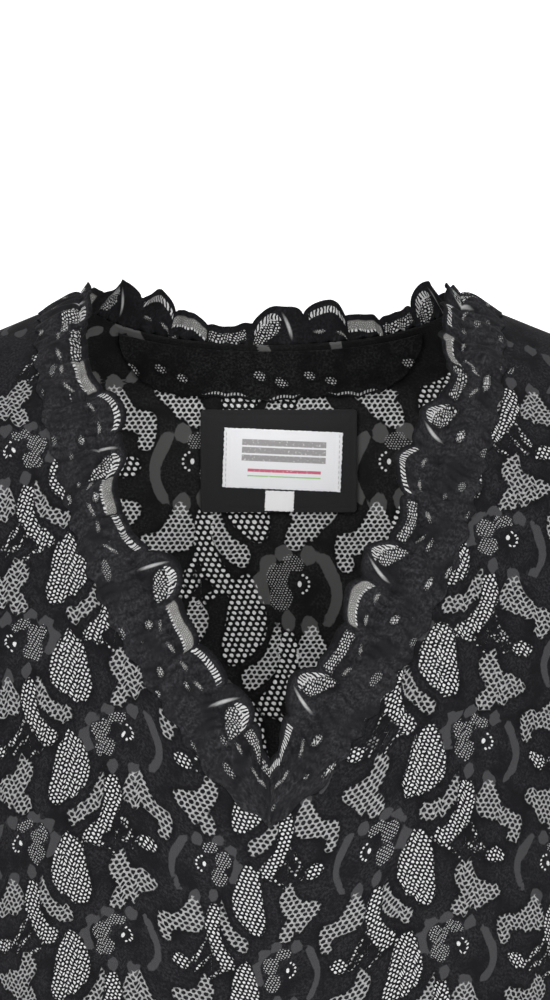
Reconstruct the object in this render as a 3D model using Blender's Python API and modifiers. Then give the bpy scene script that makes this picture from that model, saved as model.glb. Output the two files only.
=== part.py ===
"""Short-sleeved lace blouse with a V neck and a gathered neck ruffle, hollow as when it is filled out.

Metres, +Z up, the front faces -Y. The origin is midway between the two neck points, near the height
where the shoulders carry the blouse. The tables are in millimetres.
"""
import math

import bpy
import numpy as np
from mathutils.bvhtree import BVHTree

MM = 0.001

# Cloth
CLOTH_THICKNESS = 1.2 * MM
TRIM_THICKNESS = 1.0 * MM
SEAM_GAP = 0.3 * MM

# Shoulders: a straight seam from the neck point to the shoulder point
NECK_POINT_X = 84 * MM
NECK_POINT_Z = 12 * MM
SHOULDER_POINT_X = 178 * MM
SHOULDER_POINT_Z = -24 * MM
SHOULDER_ROUNDING = 62 * MM
SECTION_POWER = 2.3

# Heights of the cut
V_BOTTOM_Z = -200 * MM
BACK_NECK_Z = -7 * MM
UNDERARM_Z = -200 * MM
HEM_Z = -400 * MM

# Number of rows and columns in the panels
UPPER_ROWS = 15
LOWER_ROWS = 6
BACK_NECK_ROWS = 9
HALF_COLUMNS = 12

# Sleeve: its opening, how far the head rises and the puff swells, and its gathers
CUFF_CENTRE = np.array([232, 0, -222]) * MM
CUFF_RADIUS = 44 * MM
CUFF_TILT = math.radians(35)
SLEEVE_RINGS = 7
SLEEVE_GATHERS = 15
GATHER_DEPTH = 2.2 * MM

# Neck ruffle: its part on the blouse, its clearance, and the points across and along it
RUFFLE_OUTER_WIDTH = 21 * MM
RUFFLE_CLEARANCE = CLOTH_THICKNESS + 0.6 * MM
RUFFLE_STEP = 5 * MM
RUFFLE_END_GAP = 0.6 * MM
RUFFLE_INNER = (1.0, 0.5)
RUFFLE_OUTER = (0.0, 0.3, 0.65, 1.0)
V_CORNER = 30 * MM

# How steeply the ruffle's inner part stands off the body at the start, middle and end of each length
FRONT_STAND = (18, 24, 40)
BACK_STAND = (40, 40, 40)

# Trims inside the back, seen from the front
BAND_WIDTH = 24 * MM
BAND_HALF_LENGTH = 70 * MM
BAND_BELOW_SEAM = 2 * MM
BAND_SCALLOP_WIDTH = 41 * MM
BAND_SCALLOP_DEPTH = 1.5 * MM
TRIM_CLEARANCE = 0.95 * MM
PATCH = {"left": -32.5 * MM, "right": 40 * MM, "top": -36 * MM, "bottom": -83.5 * MM}
LABEL = {"left": -22 * MM, "right": 33 * MM, "top": -45.2 * MM, "bottom": -72.8 * MM}
SIZE_TAB = {"left": -2.6 * MM, "right": 10.8 * MM, "top": -73.5 * MM, "bottom": -82.9 * MM}


def table(columns, rows):
    """Rows of millimetres as named arrays in metres."""
    values = np.array(rows, dtype=float) * MM
    return {name: values[:, i] for i, name in enumerate(columns.split())}


# Sections of the figure that fills the blouse, from above the shoulders down to the hem
BODY = table(
    "height half_width front_depth back_depth",
    [
        (60, 196, 40, 66),
        (0, 194, 56, 76),
        (-40, 192, 72, 84),
        (-80, 188, 91, 90),
        (-115, 181, 107, 92),
        (-150, 170, 119, 93),
        (-180, 160, 126, 93),
        (-200, 156, 128, 92),
        (-230, 153, 128, 91),
        (-280, 145, 116, 88),
        (-330, 140, 105, 86),
        (-400, 142, 101, 88),
    ],
)

# Armhole seam, seen from the front
ARMHOLE = table(
    "height half_width",
    [(-24, 178), (-45, 168), (-80, 157), (-115, 151), (-150, 148), (-180, 150), (-192, 152.5), (-200, 156)],
)

# Edge of the front's V neck
NECKLINE = table(
    "height half_width",
    [
        (12, 84),
        (-10, 84.5),
        (-30, 82),
        (-50, 77),
        (-70, 71.5),
        (-92, 65),
        (-115, 55),
        (-140, 41),
        (-165, 24.5),
        (-185, 10.5),
        (-200, 0),
    ],
)


# Ruffle folds, one row for each crest: its place along the seam, how far its scallop stands into the
# opening and how high its outer part lies off the cloth. The fronts count from the V's bottom up to the
# neck point, the back from the left neck point to the right one. Left and right are as seen from the front.
LEFT_FOLDS = table(
    "along reach lift",
    [
        (0, 10, 1.5),
        (15, 11, 3),
        (35, 14, 3),
        (57, 12, 4),
        (78, 11, 3),
        (104, 19, 4),
        (130, 5, 3),
        (150, 4, 4),
        (166, 13, 3),
        (187, 18, 4),
        (210, 6, 3),
        (230, 5, 4),
        (254, 8, 3),
        (280, 8, 2),
    ],
)
RIGHT_FOLDS = table(
    "along reach lift",
    [
        (0, 10, 1.5),
        (15, 10, 3),
        (41, 20, 4),
        (64, 13, 3),
        (88, 20, 4),
        (109, 21, 3),
        (133, 11, 4),
        (157, 22, 3),
        (182, 16, 4),
        (208, 5, 3),
        (223, 14, 4),
        (244, 14, 3),
        (262, 11, 4),
        (280, 8, 2),
    ],
)
BACK_FOLDS = table(
    "along reach lift",
    [
        (0, 8, 2),
        (17, 9, 3),
        (31, 14, 4),
        (47, 19, 3),
        (75, 20, 3),
        (92, 12, 4),
        (110, 7, 3),
        (134, 18, 3),
        (159, 19, 4),
        (176, 10, 3),
        (193, 8, 4),
        (213, 11, 3),
        (230, 14, 4),
        (246, 9, 3),
        (261, 8, 2),
    ],
)


def read(rows, value, at):
    """Value at the heights in at: a cubic between rows, whose slope at a row is that of its neighbours."""
    order = np.argsort(rows["height"])
    keys = rows["height"][order]
    values = rows[value][order]
    slopes = np.gradient(values, keys)
    at = np.clip(at, keys[0], keys[-1])
    i = np.clip(np.searchsorted(keys, at) - 1, 0, len(keys) - 2)
    width = keys[i + 1] - keys[i]
    f = (at - keys[i]) / width
    start = (1 + 2 * f) * (1 - f) ** 2 * values[i] + f * (1 - f) ** 2 * width * slopes[i]
    end = f**2 * (3 - 2 * f) * values[i + 1] - f**2 * (1 - f) * width * slopes[i + 1]
    return start + end


def ease(value, low, high):
    """0 below low, 1 above high, with a smooth rise between."""
    f = np.clip((value - low) / (high - low), 0, 1)
    return f * f * (3 - 2 * f)


def shoulder_height(x):
    """Height of the shoulder line at x, carried on in a straight line over the neck."""
    slope = (NECK_POINT_Z - SHOULDER_POINT_Z) / (SHOULDER_POINT_X - NECK_POINT_X)
    return NECK_POINT_Z + slope * (NECK_POINT_X - np.abs(x))


def body_depth(x, z, side):
    """Half depth of the figure at x and z: a rounded section that shrinks to nothing at the shoulder line."""
    full = read(BODY, "front_depth" if side == "front" else "back_depth", z)
    across = np.clip(np.abs(x) / read(BODY, "half_width", z), 0, 1)
    section = (1 - across**SECTION_POWER) ** (1 / SECTION_POWER)
    below = np.clip((shoulder_height(x) - z) / SHOULDER_ROUNDING, 0, 1)
    return full * section * np.sqrt(1 - (1 - below) ** 2)


def body_points(x, z, side):
    """Points of the figure, half a seam gap from the seam between front and back."""
    depth = np.maximum(body_depth(x, z, side), SEAM_GAP / 2)
    return np.stack([x, -depth if side == "front" else depth, z], axis=-1)


def body_level(points):
    """0 on the figure and more outside it: (y / full depth)^2 less the squared section and rounding."""
    x, y, z = points[..., 0], points[..., 1], points[..., 2]
    full = np.where(y < 0, read(BODY, "front_depth", z), read(BODY, "back_depth", z))
    across = np.clip(np.abs(x) / read(BODY, "half_width", z), 0, 1)
    section = (1 - across**SECTION_POWER) ** (2 / SECTION_POWER)
    below = np.clip((shoulder_height(x) - z) / SHOULDER_ROUNDING, -1, 1)
    return (y / full) ** 2 - section * (1 - (1 - below) ** 2)


def body_slope(points):
    """Gradient of body_level, from small steps along the three axes."""
    step = 0.2 * MM
    slopes = [body_level(points + step * axis) - body_level(points - step * axis) for axis in np.eye(3)]
    return np.stack(slopes, axis=-1) / (2 * step)


def body_normals(points):
    """Directions that point straight out of the figure."""
    return unit(body_slope(points))


def onto_body(points):
    """Points moved along the slope until they lie on the figure."""
    for _ in range(6):
        slope = body_slope(points)
        squared = np.sum(slope**2, axis=-1, keepdims=True)
        points = points - body_level(points)[..., None] * slope / squared
    return points


def unit(vectors):
    """Vectors at length one."""
    return vectors / np.linalg.norm(vectors, axis=-1, keepdims=True)


def make_material(name, colour, roughness):
    """Plain Principled material."""
    material = bpy.data.materials.new(name)
    material.use_nodes = True
    shader = material.node_tree.nodes["Principled BSDF"]
    shader.inputs["Base Color"].default_value = (*colour, 1)
    shader.inputs["Roughness"].default_value = roughness
    shader.inputs["Metallic"].default_value = 0
    return material


def cloth_object(name, points, thickness, grow, colour, roughness=0.8, closed=False, flip=False, mirror=False):
    """Loft through rows of points, thickened outward (grow 1) or inward (grow -1)."""
    rows, columns = points.shape[:2]
    index = np.arange(rows * columns).reshape(rows, columns)
    if closed:
        index = np.concatenate([index, index[:, :1]], axis=1)
    corners = [index[:-1, :-1], index[:-1, 1:], index[1:, 1:], index[1:, :-1]]
    if flip:
        corners.reverse()
    faces = np.stack(corners, axis=-1).reshape(-1, 4)
    mesh = bpy.data.meshes.new(name)
    mesh.from_pydata(points.reshape(-1, 3).tolist(), [], faces.tolist())
    mesh.validate()
    mesh.shade_smooth()
    piece = bpy.data.objects.new(name, mesh)
    collection.objects.link(piece)
    mesh.materials.append(make_material(name, colour, roughness))
    if mirror:
        halves = piece.modifiers.new("both halves", "MIRROR")
        halves.use_clip = True
        halves.merge_threshold = 0.0001
    wall = piece.modifiers.new("cloth", "SOLIDIFY")
    wall.thickness = thickness
    wall.offset = grow
    return piece


def fan(count):
    """Positions from 0 to 1 that lie close together at both ends."""
    return (1 - np.cos(np.pi * np.arange(count + 1) / count)) / 2


def back_neck_edge(turn):
    """Back neck seam from the neck point (turn 0) to the centre back (turn a quarter circle)."""
    x = NECK_POINT_X * np.cos(turn)
    z = BACK_NECK_Z + (NECK_POINT_Z - BACK_NECK_Z) * (1 - np.sin(turn))
    return x, z


def panel_half(side):
    """Rows of points of the front or back at x >= 0, from the shoulder seam down to the hem."""
    arm_z = SHOULDER_POINT_Z + fan(UPPER_ROWS) * (UNDERARM_Z - SHOULDER_POINT_Z)
    arm_x = read(ARMHOLE, "half_width", arm_z)
    if side == "front":
        inner_z = NECK_POINT_Z + fan(UPPER_ROWS) * (V_BOTTOM_Z - NECK_POINT_Z)
        inner_x = read(NECKLINE, "half_width", inner_z)
    else:
        turn = math.pi / 2 * np.linspace(0, 1, BACK_NECK_ROWS + 1) ** 1.35
        inner_x, inner_z = back_neck_edge(turn)
        down_centre = np.linspace(BACK_NECK_Z, UNDERARM_Z, UPPER_ROWS - BACK_NECK_ROWS + 1)[1:]
        inner_x = np.concatenate([inner_x, 0 * down_centre])
        inner_z = np.concatenate([inner_z, down_centre])
    lower = np.arange(1, LOWER_ROWS + 1) / LOWER_ROWS
    side_z = UNDERARM_Z + lower * (HEM_Z - UNDERARM_Z)
    centre_z = inner_z[-1] + lower * (HEM_Z - inner_z[-1])
    outer_x = np.concatenate([arm_x, read(BODY, "half_width", side_z)])
    outer_z = np.concatenate([arm_z, side_z])
    inner_x = np.concatenate([inner_x, 0 * lower])
    inner_z = np.concatenate([inner_z, centre_z])
    across = np.sin(np.linspace(0, math.pi / 2, HALF_COLUMNS + 1))
    x = inner_x[:, None] + (outer_x - inner_x)[:, None] * across
    z = inner_z[:, None] + (outer_z - inner_z)[:, None] * across
    return body_points(x, z, side)


def mirrored(points):
    """The same points on the other side."""
    return points * np.array([-1, 1, 1])


def make_panel(side, colour):
    """Front or back: one half lofted and mirrored at the centre."""
    half = panel_half(side)
    cloth_object(side, half, CLOTH_THICKNESS, 1, colour, flip=side == "front", mirror=True)
    return half


def armhole_loop(front, back):
    """The armhole seam round the right arm, twice as fine as the panels' rows, and its outward directions."""
    down_front = front[:UPPER_ROWS, -1]
    up_back = back[1 : UPPER_ROWS + 1, -1][::-1]
    loop = np.concatenate([down_front, up_back])
    loop = np.stack([loop, (loop + np.roll(loop, -1, axis=0)) / 2], axis=1).reshape(-1, 3)
    return loop, body_normals(loop)


def sleeve_points(front, back):
    """Right sleeve: rings from the armhole to the elastic, along a cubic for each column.

    Each column is a Bezier curve whose handles lift the head and swell the puff, most on top and least
    under the arm. The gathers are a wave round the ring that dies away at both seams.
    """
    loop, out = armhole_loop(front, back)
    turn = 2 * math.pi * np.arange(len(loop)) / len(loop)
    share = 0.25 + 0.75 * (0.5 + 0.5 * np.cos(turn))[:, None]
    axis = np.array([math.sin(CUFF_TILT), 0, -math.cos(CUFF_TILT)])
    up = np.array([math.cos(CUFF_TILT), 0, math.sin(CUFF_TILT)])
    forward = np.array([0, -1, 0])
    around_cuff = np.cos(turn)[:, None] * up + np.sin(turn)[:, None] * forward
    around_arm = np.cos(turn)[:, None] * np.array([0, 0, 1]) + np.sin(turn)[:, None] * forward
    leave = (10 + 45 * share) * MM * np.array([1, 0, 0]) + 24 * MM * share * around_arm
    arrive = -62 * MM * share * axis + 45 * MM * share**2 * around_cuff
    start = loop + CLOTH_THICKNESS * out + 1.4 * SEAM_GAP * unit(leave)
    end = CUFF_CENTRE + CUFF_RADIUS * around_cuff
    f = np.linspace(0, 1, SLEEVE_RINGS + 1)[:, None, None]
    rings = (1 - f) ** 3 * start + 3 * f * (1 - f) ** 2 * (start + leave)
    rings = rings + 3 * f**2 * (1 - f) * (end + arrive) + f**3 * end
    wave = np.cos(SLEEVE_GATHERS * turn) * (0.7 + 0.3 * np.sin(3 * turn + 1))
    swell = np.sin(math.pi * f) ** 0.7 * GATHER_DEPTH * wave[:, None]
    return rings + swell * ((1 - f) * around_arm + f * around_cuff)


def make_sleeves(front, back, colour):
    """Both sleeves: the left one is the right one mirrored."""
    points = sleeve_points(front, back)
    cloth_object("sleeve_right", points, CLOTH_THICKNESS, -1, colour, closed=True)
    cloth_object("sleeve_left", mirrored(points), CLOTH_THICKNESS, -1, colour, closed=True, flip=True)


def along_path(points, step):
    """Points at even steps along a path, and their distances from its start."""
    lengths = np.linalg.norm(np.diff(points, axis=0), axis=1)
    distance = np.concatenate([[0], np.cumsum(lengths)])
    at = np.linspace(0, distance[-1], round(distance[-1] / step) + 1)
    return np.stack([np.interp(at, distance, points[:, i]) for i in range(3)], axis=1), at


def front_neck_path():
    """Right front's neck seam, from just beside the V's bottom up to just before the neck point."""
    z = NECK_POINT_Z + (V_BOTTOM_Z - NECK_POINT_Z) * np.linspace(1, 0, 400) ** 2
    path = body_points(read(NECKLINE, "half_width", z), z, "front")
    return path[(path[:, 0] > SEAM_GAP) & (path[:, 1] < -RUFFLE_END_GAP)]


def back_neck_path():
    """Back's neck seam, from just behind the left neck point to just behind the right one."""
    x, z = back_neck_edge(math.pi / 2 * np.linspace(0, 1, 400) ** 2)
    half = body_points(x, z, "back")
    path = np.concatenate([mirrored(half), half[-2::-1]])
    return path[path[:, 1] > RUFFLE_END_GAP]


def ruffle_points(path, folds, stand, away_sign):
    """Gathered strip along a neck seam: rows from its scalloped inner edge to its outer edge.

    Inside the seam the strip leaves the body at the angle stand, more on a crest than between two. Outside
    it lies on the body at its clearance, and each crest lifts it toward its outer edge.
    """
    seam, at = along_path(path, RUFFLE_STEP)
    out = body_normals(seam)
    tangent = unit(np.gradient(seam, axis=0))
    away = unit(away_sign * np.cross(tangent, out))
    v_turn = 1 - ease(at, 0, V_CORNER) if away_sign > 0 else 0 * at
    away = away * (1 - v_turn)[:, None] + np.array([0, 0, -1]) * v_turn[:, None]
    away = unit(away - np.sum(away * out, axis=1, keepdims=True) * out)
    count = np.arange(len(folds["along"]))
    phase = np.interp(at, folds["along"], count)
    crest = 0.5 + 0.5 * np.cos(2 * math.pi * phase)
    rounded = np.floor(phase) + ease(phase % 1, 0, 1)
    reach = np.interp(rounded, count, folds["reach"]) * (0.7 + 0.3 * crest)
    lift = np.interp(rounded, count, folds["lift"]) * crest
    angle = np.interp(at, [0, at[-1] / 2, at[-1]], np.radians(stand)) * (0.55 + 0.45 * crest)
    rise = np.cos(angle)[:, None] * -away + np.sin(angle)[:, None] * out
    rows = [seam + RUFFLE_CLEARANCE * out + f * reach[:, None] * rise for f in RUFFLE_INNER]
    for f in RUFFLE_OUTER:
        on_cloth = onto_body(seam + f * RUFFLE_OUTER_WIDTH * away)
        height = RUFFLE_CLEARANCE + f * lift
        rows.append(on_cloth + height[:, None] * body_normals(on_cloth))
    return np.stack(rows)


def make_ruffles(colour):
    """The neck ruffle, one strip in three lengths that meet at the neck points."""
    right = ruffle_points(front_neck_path(), RIGHT_FOLDS, FRONT_STAND, 1)
    left = mirrored(ruffle_points(front_neck_path(), LEFT_FOLDS, FRONT_STAND, 1))
    back = ruffle_points(back_neck_path(), BACK_FOLDS, BACK_STAND, -1)
    cloth_object("ruffle_right", right, TRIM_THICKNESS, 1, colour, flip=True)
    cloth_object("ruffle_left", left, TRIM_THICKNESS, 1, colour)
    cloth_object("ruffle_back", back, TRIM_THICKNESS, 1, colour)


def inside_back(back, x, z, clearance):
    """Points inside the back at x and z: rays meet its faces, and the hits move inward by clearance."""
    whole = np.concatenate([mirrored(back[:, :0:-1]), back], axis=1)
    rows, columns = whole.shape[:2]
    index = np.arange(rows * columns).reshape(rows, columns)
    faces = np.stack([index[:-1, :-1], index[:-1, 1:], index[1:, 1:], index[1:, :-1]], axis=-1)
    tree = BVHTree.FromPolygons(whole.reshape(-1, 3).tolist(), faces.reshape(-1, 4).tolist())
    hits = [tree.ray_cast((px, 0, pz), (0, 1, 0))[0] for px, pz in zip(x.ravel(), z.ravel())]
    hits = np.array(hits).reshape(*x.shape, 3)
    return hits - clearance * body_normals(hits)


def make_trim(name, back, frame, clearance, columns, rows, colour):
    """A flat trim inside the back: a grid between its four sides."""
    x = np.linspace(frame["left"], frame["right"], columns + 1)
    z = np.linspace(frame["top"], frame["bottom"], rows + 1)
    x, z = np.meshgrid(x, z)
    points = inside_back(back, x, z, clearance)
    cloth_object(name, points, TRIM_THICKNESS, -1, colour)


def make_neck_band(back, colour):
    """Dark band inside the back neck, with a lightly scalloped lower edge."""
    x = np.linspace(-BAND_HALF_LENGTH, BAND_HALF_LENGTH, 37)
    turn = np.arccos(np.abs(x) / NECK_POINT_X)
    top = back_neck_edge(turn)[1] - BAND_BELOW_SEAM
    scallop = BAND_SCALLOP_DEPTH * np.abs(np.sin(math.pi * x / BAND_SCALLOP_WIDTH))
    down = np.linspace(0, 1, 4)[:, None]
    z = top - down * (BAND_WIDTH - scallop)
    points = inside_back(back, np.broadcast_to(x, z.shape), z, TRIM_CLEARANCE)
    cloth_object("back_neck_band", points, TRIM_THICKNESS, -1, colour)


def main():
    """Builds every piece, the cloth panels first and the trims from them."""
    lace = (0.012, 0.012, 0.013)
    front = make_panel("front", lace)
    back = make_panel("back", lace)
    make_sleeves(front, back, lace)
    make_ruffles((0.02, 0.02, 0.021))
    make_neck_band(back, (0.008, 0.008, 0.009))
    on_patch = TRIM_CLEARANCE + TRIM_THICKNESS + SEAM_GAP
    make_trim("label_patch", back, PATCH, TRIM_CLEARANCE, 8, 5, (0.015, 0.015, 0.017))
    make_trim("woven_label", back, LABEL, on_patch, 6, 3, (0.7, 0.7, 0.72))
    make_trim("size_tab", back, SIZE_TAB, on_patch, 2, 1, (0.8, 0.8, 0.8))


for old in list(bpy.data.objects):
    bpy.data.objects.remove(old)
collection = bpy.data.collections.new("lace_blouse")
bpy.context.scene.collection.children.link(collection)
main()
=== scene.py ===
# %% [markdown]
# # A black lace blouse with a gathered ruffle
# The blouse is held at the shoulders and keeps the hollow form of a worn garment. Its front, back and
# sleeves are flower lace. A second, narrower lace is gathered round the neck as a ruffle with a
# scalloped edge. Each piece here is a thin skin on the form of the frame's solid, made as a grid of
# points worked out with numpy. Sizes in the tables are millimetres, all places in the mesh are metres.

# %% Load the frame
import math

import bpy
import numpy as np
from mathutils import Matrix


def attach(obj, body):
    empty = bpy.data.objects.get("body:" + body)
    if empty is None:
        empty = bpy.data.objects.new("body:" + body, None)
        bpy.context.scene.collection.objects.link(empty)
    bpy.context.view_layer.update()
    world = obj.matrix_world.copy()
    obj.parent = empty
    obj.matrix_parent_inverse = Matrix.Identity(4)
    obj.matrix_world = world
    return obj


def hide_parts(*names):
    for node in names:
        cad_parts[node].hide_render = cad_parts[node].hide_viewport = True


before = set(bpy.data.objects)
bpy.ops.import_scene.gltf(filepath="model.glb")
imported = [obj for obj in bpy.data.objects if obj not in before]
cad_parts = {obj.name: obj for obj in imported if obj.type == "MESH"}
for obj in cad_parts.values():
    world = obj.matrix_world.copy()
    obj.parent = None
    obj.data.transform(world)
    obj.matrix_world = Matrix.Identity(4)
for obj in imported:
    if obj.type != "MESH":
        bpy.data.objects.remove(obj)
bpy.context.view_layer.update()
MM = 0.001
SCENE = bpy.context.scene


# %% [markdown]
# ## Camera, light and backdrop
# The picture looks straight at the neck opening from about three metres, with a long lens, so the near
# and far sides are almost the same size. The lens follows from the picture's scale at the back of the
# neck. A wide white sweep lies below and rises far behind, so that the blouse can be looked at from any
# side. It glows a little, and large soft lamps leave no hard shadow.

# %% Camera
PICTURE_HEIGHT_PX = 1000
PIXEL_SIZE = 0.46 * MM
PIXEL_DEPTH = 0.070
SENSOR = 36.0
CAMERA_PLACE = (0.002, -3.0, -0.078)

camera_data = bpy.data.cameras.new("camera")
camera_data.sensor_width = SENSOR
camera_data.lens = SENSOR * (PIXEL_DEPTH - CAMERA_PLACE[1]) / (PIXEL_SIZE * PICTURE_HEIGHT_PX)
camera = bpy.data.objects.new("camera", camera_data)
camera.location = CAMERA_PLACE
camera.rotation_euler = (math.pi / 2, 0, 0)
SCENE.collection.objects.link(camera)
SCENE.camera = camera
print("lens", round(camera_data.lens, 1), "mm")


# %% Small helpers for shader nodes
def value_into(tree, socket, value):
    """Puts a number, a colour or another node's socket into an input."""
    if isinstance(value, bpy.types.NodeSocket):
        tree.links.new(value, socket)
    elif value is not None:
        socket.default_value = value


def calc(tree, operation, *values):
    """One Math node, whose inputs are numbers or sockets."""
    node = tree.nodes.new("ShaderNodeMath")
    node.operation = operation
    for socket, value in zip(node.inputs, values):
        value_into(tree, socket, value)
    return node.outputs[0]


def times(tree, first, *others):
    """The product of all values."""
    for value in others:
        first = calc(tree, "MULTIPLY", first, value)
    return first


def most(tree, first, *others):
    """The greatest of all values."""
    for value in others:
        first = calc(tree, "MAXIMUM", first, value)
    return first


def length(tree, x, y):
    """Root of x squared plus y squared."""
    return calc(tree, "SQRT", calc(tree, "ADD", times(tree, x, x), times(tree, y, y)))


def rise(tree, value, low, high):
    """0 below low and 1 above high, with a smooth rise between."""
    node = tree.nodes.new("ShaderNodeMapRange")
    node.interpolation_type = "SMOOTHSTEP"
    value_into(tree, node.inputs["Value"], value)
    value_into(tree, node.inputs["From Min"], low)
    value_into(tree, node.inputs["From Max"], high)
    return node.outputs[0]


def blend(tree, share, first, second):
    """Mixes two colours: all first at share 0, all second at 1."""
    node = tree.nodes.new("ShaderNodeMix")
    node.data_type = "RGBA"
    for index, value in ((0, share), (6, first), (7, second)):
        value_into(tree, node.inputs[index], value)
    return node.outputs[2]


def noise(tree, vector, scale, detail=2.0):
    """Soft noise from 0 to 1 on the given coordinates."""
    node = tree.nodes.new("ShaderNodeTexNoise")
    node.inputs["Scale"].default_value = scale
    node.inputs["Detail"].default_value = detail
    tree.links.new(vector, node.inputs["Vector"])
    return node.outputs["Fac"]


def parts_of(tree, vector):
    """The x, y and z of a vector."""
    node = tree.nodes.new("ShaderNodeSeparateXYZ")
    tree.links.new(vector, node.inputs[0])
    return node.outputs


def new_group(name, inputs, outputs):
    """A shader node group with named sockets; gives its tree, its inputs' sockets and its output node."""
    tree = bpy.data.node_groups.new(name, "ShaderNodeTree")
    kinds = {float: "NodeSocketFloat", tuple: "NodeSocketColor", list: "NodeSocketVector"}
    for label, value in inputs.items():
        socket = tree.interface.new_socket(label, in_out="INPUT", socket_type=kinds[type(value)])
        socket.default_value = value
    for label, kind in outputs.items():
        tree.interface.new_socket(label, in_out="OUTPUT", socket_type=kinds[kind])
    start = tree.nodes.new("NodeGroupInput")
    end = tree.nodes.new("NodeGroupOutput")
    return tree, start.outputs, end


def use_group(tree, group, **values):
    """Places a node group in a tree; a keyword's underscores stand for the spaces in a socket's name."""
    node = tree.nodes.new("ShaderNodeGroup")
    node.node_tree = group
    for label, value in values.items():
        value_into(tree, node.inputs[label.replace("_", " ")], value)
    return node.outputs


def new_material(name, roughness):
    """A material with its tree and its Principled shader."""
    material = bpy.data.materials.new(name)
    material.use_nodes = True
    shader = material.node_tree.nodes["Principled BSDF"]
    shader.inputs["Roughness"].default_value = roughness
    return material, material.node_tree, shader


# %% Backdrop and lamps
BACKDROP_WIDTH = 60.0
BACKDROP_FRONT = -30.0
BACKDROP_BACK = 24.0
BACKDROP_TOP = 16.0
BACKDROP_RADIUS = 6.0
BACKDROP_GLOW = 0.6
FLOOR_Z = -1.1
WORLD_LIGHT = 0.55
# For each lamp its place, what it faces, its size in metres and its power in watts
LAMPS = {
    "key": ((-1.2, -2.8, 1.0), (0, 0, -0.15), 1.6, 52),
    "fill": ((0.9, -3.0, 0.3), (0, 0, -0.15), 1.8, 52),
    "top": ((0, 0.3, 2.6), (0, 0, -0.1), 2.0, 40),
}


def make_backdrop():
    """A sweep carried across: floor, a quarter circle, then a wall."""
    turn = np.linspace(0, math.pi / 2, 24)
    bend_y = BACKDROP_BACK - BACKDROP_RADIUS + BACKDROP_RADIUS * np.sin(turn)
    bend_z = FLOOR_Z + BACKDROP_RADIUS * (1 - np.cos(turn))
    y = np.concatenate([[BACKDROP_FRONT], bend_y, [BACKDROP_BACK]])
    z = np.concatenate([[FLOOR_Z], bend_z, [BACKDROP_TOP]])
    x = np.tile([-BACKDROP_WIDTH / 2, BACKDROP_WIDTH / 2], (len(y), 1))
    points = np.stack([x, np.tile(y[:, None], (1, 2)), np.tile(z[:, None], (1, 2))], axis=-1)
    index = np.arange(2 * len(y)).reshape(len(y), 2)
    faces = np.stack([index[:-1, 0], index[:-1, 1], index[1:, 1], index[1:, 0]], axis=-1)
    mesh = bpy.data.meshes.new("backdrop")
    mesh.from_pydata(points.reshape(-1, 3).tolist(), [], faces.tolist())
    mesh.shade_smooth()
    sweep = bpy.data.objects.new("backdrop", mesh)
    SCENE.collection.objects.link(sweep)
    material, _, shader = new_material("white sweep", 0.9)
    shader.inputs["Base Color"].default_value = (0.9, 0.9, 0.9, 1)
    shader.inputs["Emission Color"].default_value = (1, 1, 1, 1)
    shader.inputs["Emission Strength"].default_value = BACKDROP_GLOW
    mesh.materials.append(material)


def make_lamp(name, place, aim, size, power):
    """A square soft lamp at a place, turned to face aim."""
    data = bpy.data.lights.new(name, "AREA")
    data.size = size
    data.energy = power
    lamp = bpy.data.objects.new(name, data)
    way = np.array(aim) - np.array(place)
    flat = math.hypot(way[0], way[1])
    lamp.location = place
    lamp.rotation_euler = (math.atan2(flat, -way[2]), 0, math.atan2(way[1], way[0]) - math.pi / 2)
    SCENE.collection.objects.link(lamp)


make_backdrop()
for lamp_name, lamp_setting in LAMPS.items():
    make_lamp(lamp_name, *lamp_setting)
world = bpy.data.worlds.new("studio")
world.use_nodes = True
background = world.node_tree.nodes["Background"]
background.inputs["Color"].default_value = (1, 1, 1, 1)
background.inputs["Strength"].default_value = WORLD_LIGHT
SCENE.world = world
SCENE.view_settings.view_transform = "Standard"
print("lamps", ", ".join(LAMPS), "and a world of strength", WORLD_LIGHT)


# %% [markdown]
# ## The form under the cloth
# The front and back are drawn over a smooth figure. Its section at each height is a rounded oval, wide
# at the shoulders and deeper at the bust, and it shrinks to nothing at the shoulder line. The same
# sizes shape the solids of the frame, so the skins lie where those solids are. A surface by formula
# is used here because the lace then gets even, fine rows, whatever the solids' facets are.

# %% Sizes of the form
NECK_POINT = (84, 12)
SHOULDER_POINT = (178, -24)
SHOULDER_ROUNDING = 62
SECTION_POWER = 2.3
V_BOTTOM_Z = -200
BACK_NECK_Z = -7
UNDERARM_Z = -200
HEM_Z = -400

BODY_HEIGHT = [60, 0, -40, -80, -115, -150, -180, -200, -230, -280, -330, -400]
BODY_HALF_WIDTH = [196, 194, 192, 188, 181, 170, 160, 156, 153, 145, 140, 142]
BODY_FRONT_DEPTH = [40, 56, 72, 91, 107, 119, 126, 128, 128, 116, 105, 101]
BODY_BACK_DEPTH = [66, 76, 84, 90, 92, 93, 93, 92, 91, 88, 86, 88]
ARMHOLE_HEIGHT = [-24, -45, -80, -115, -150, -180, -192, -200]
ARMHOLE_X = [178, 168, 157, 151, 148, 150, 152.5, 156]
NECKLINE_HEIGHT = [12, -10, -30, -50, -70, -92, -115, -140, -165, -185, -200]
NECKLINE_X = [84, 84.5, 82, 77, 71.5, 65, 55, 41, 24.5, 10.5, 0]


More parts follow.
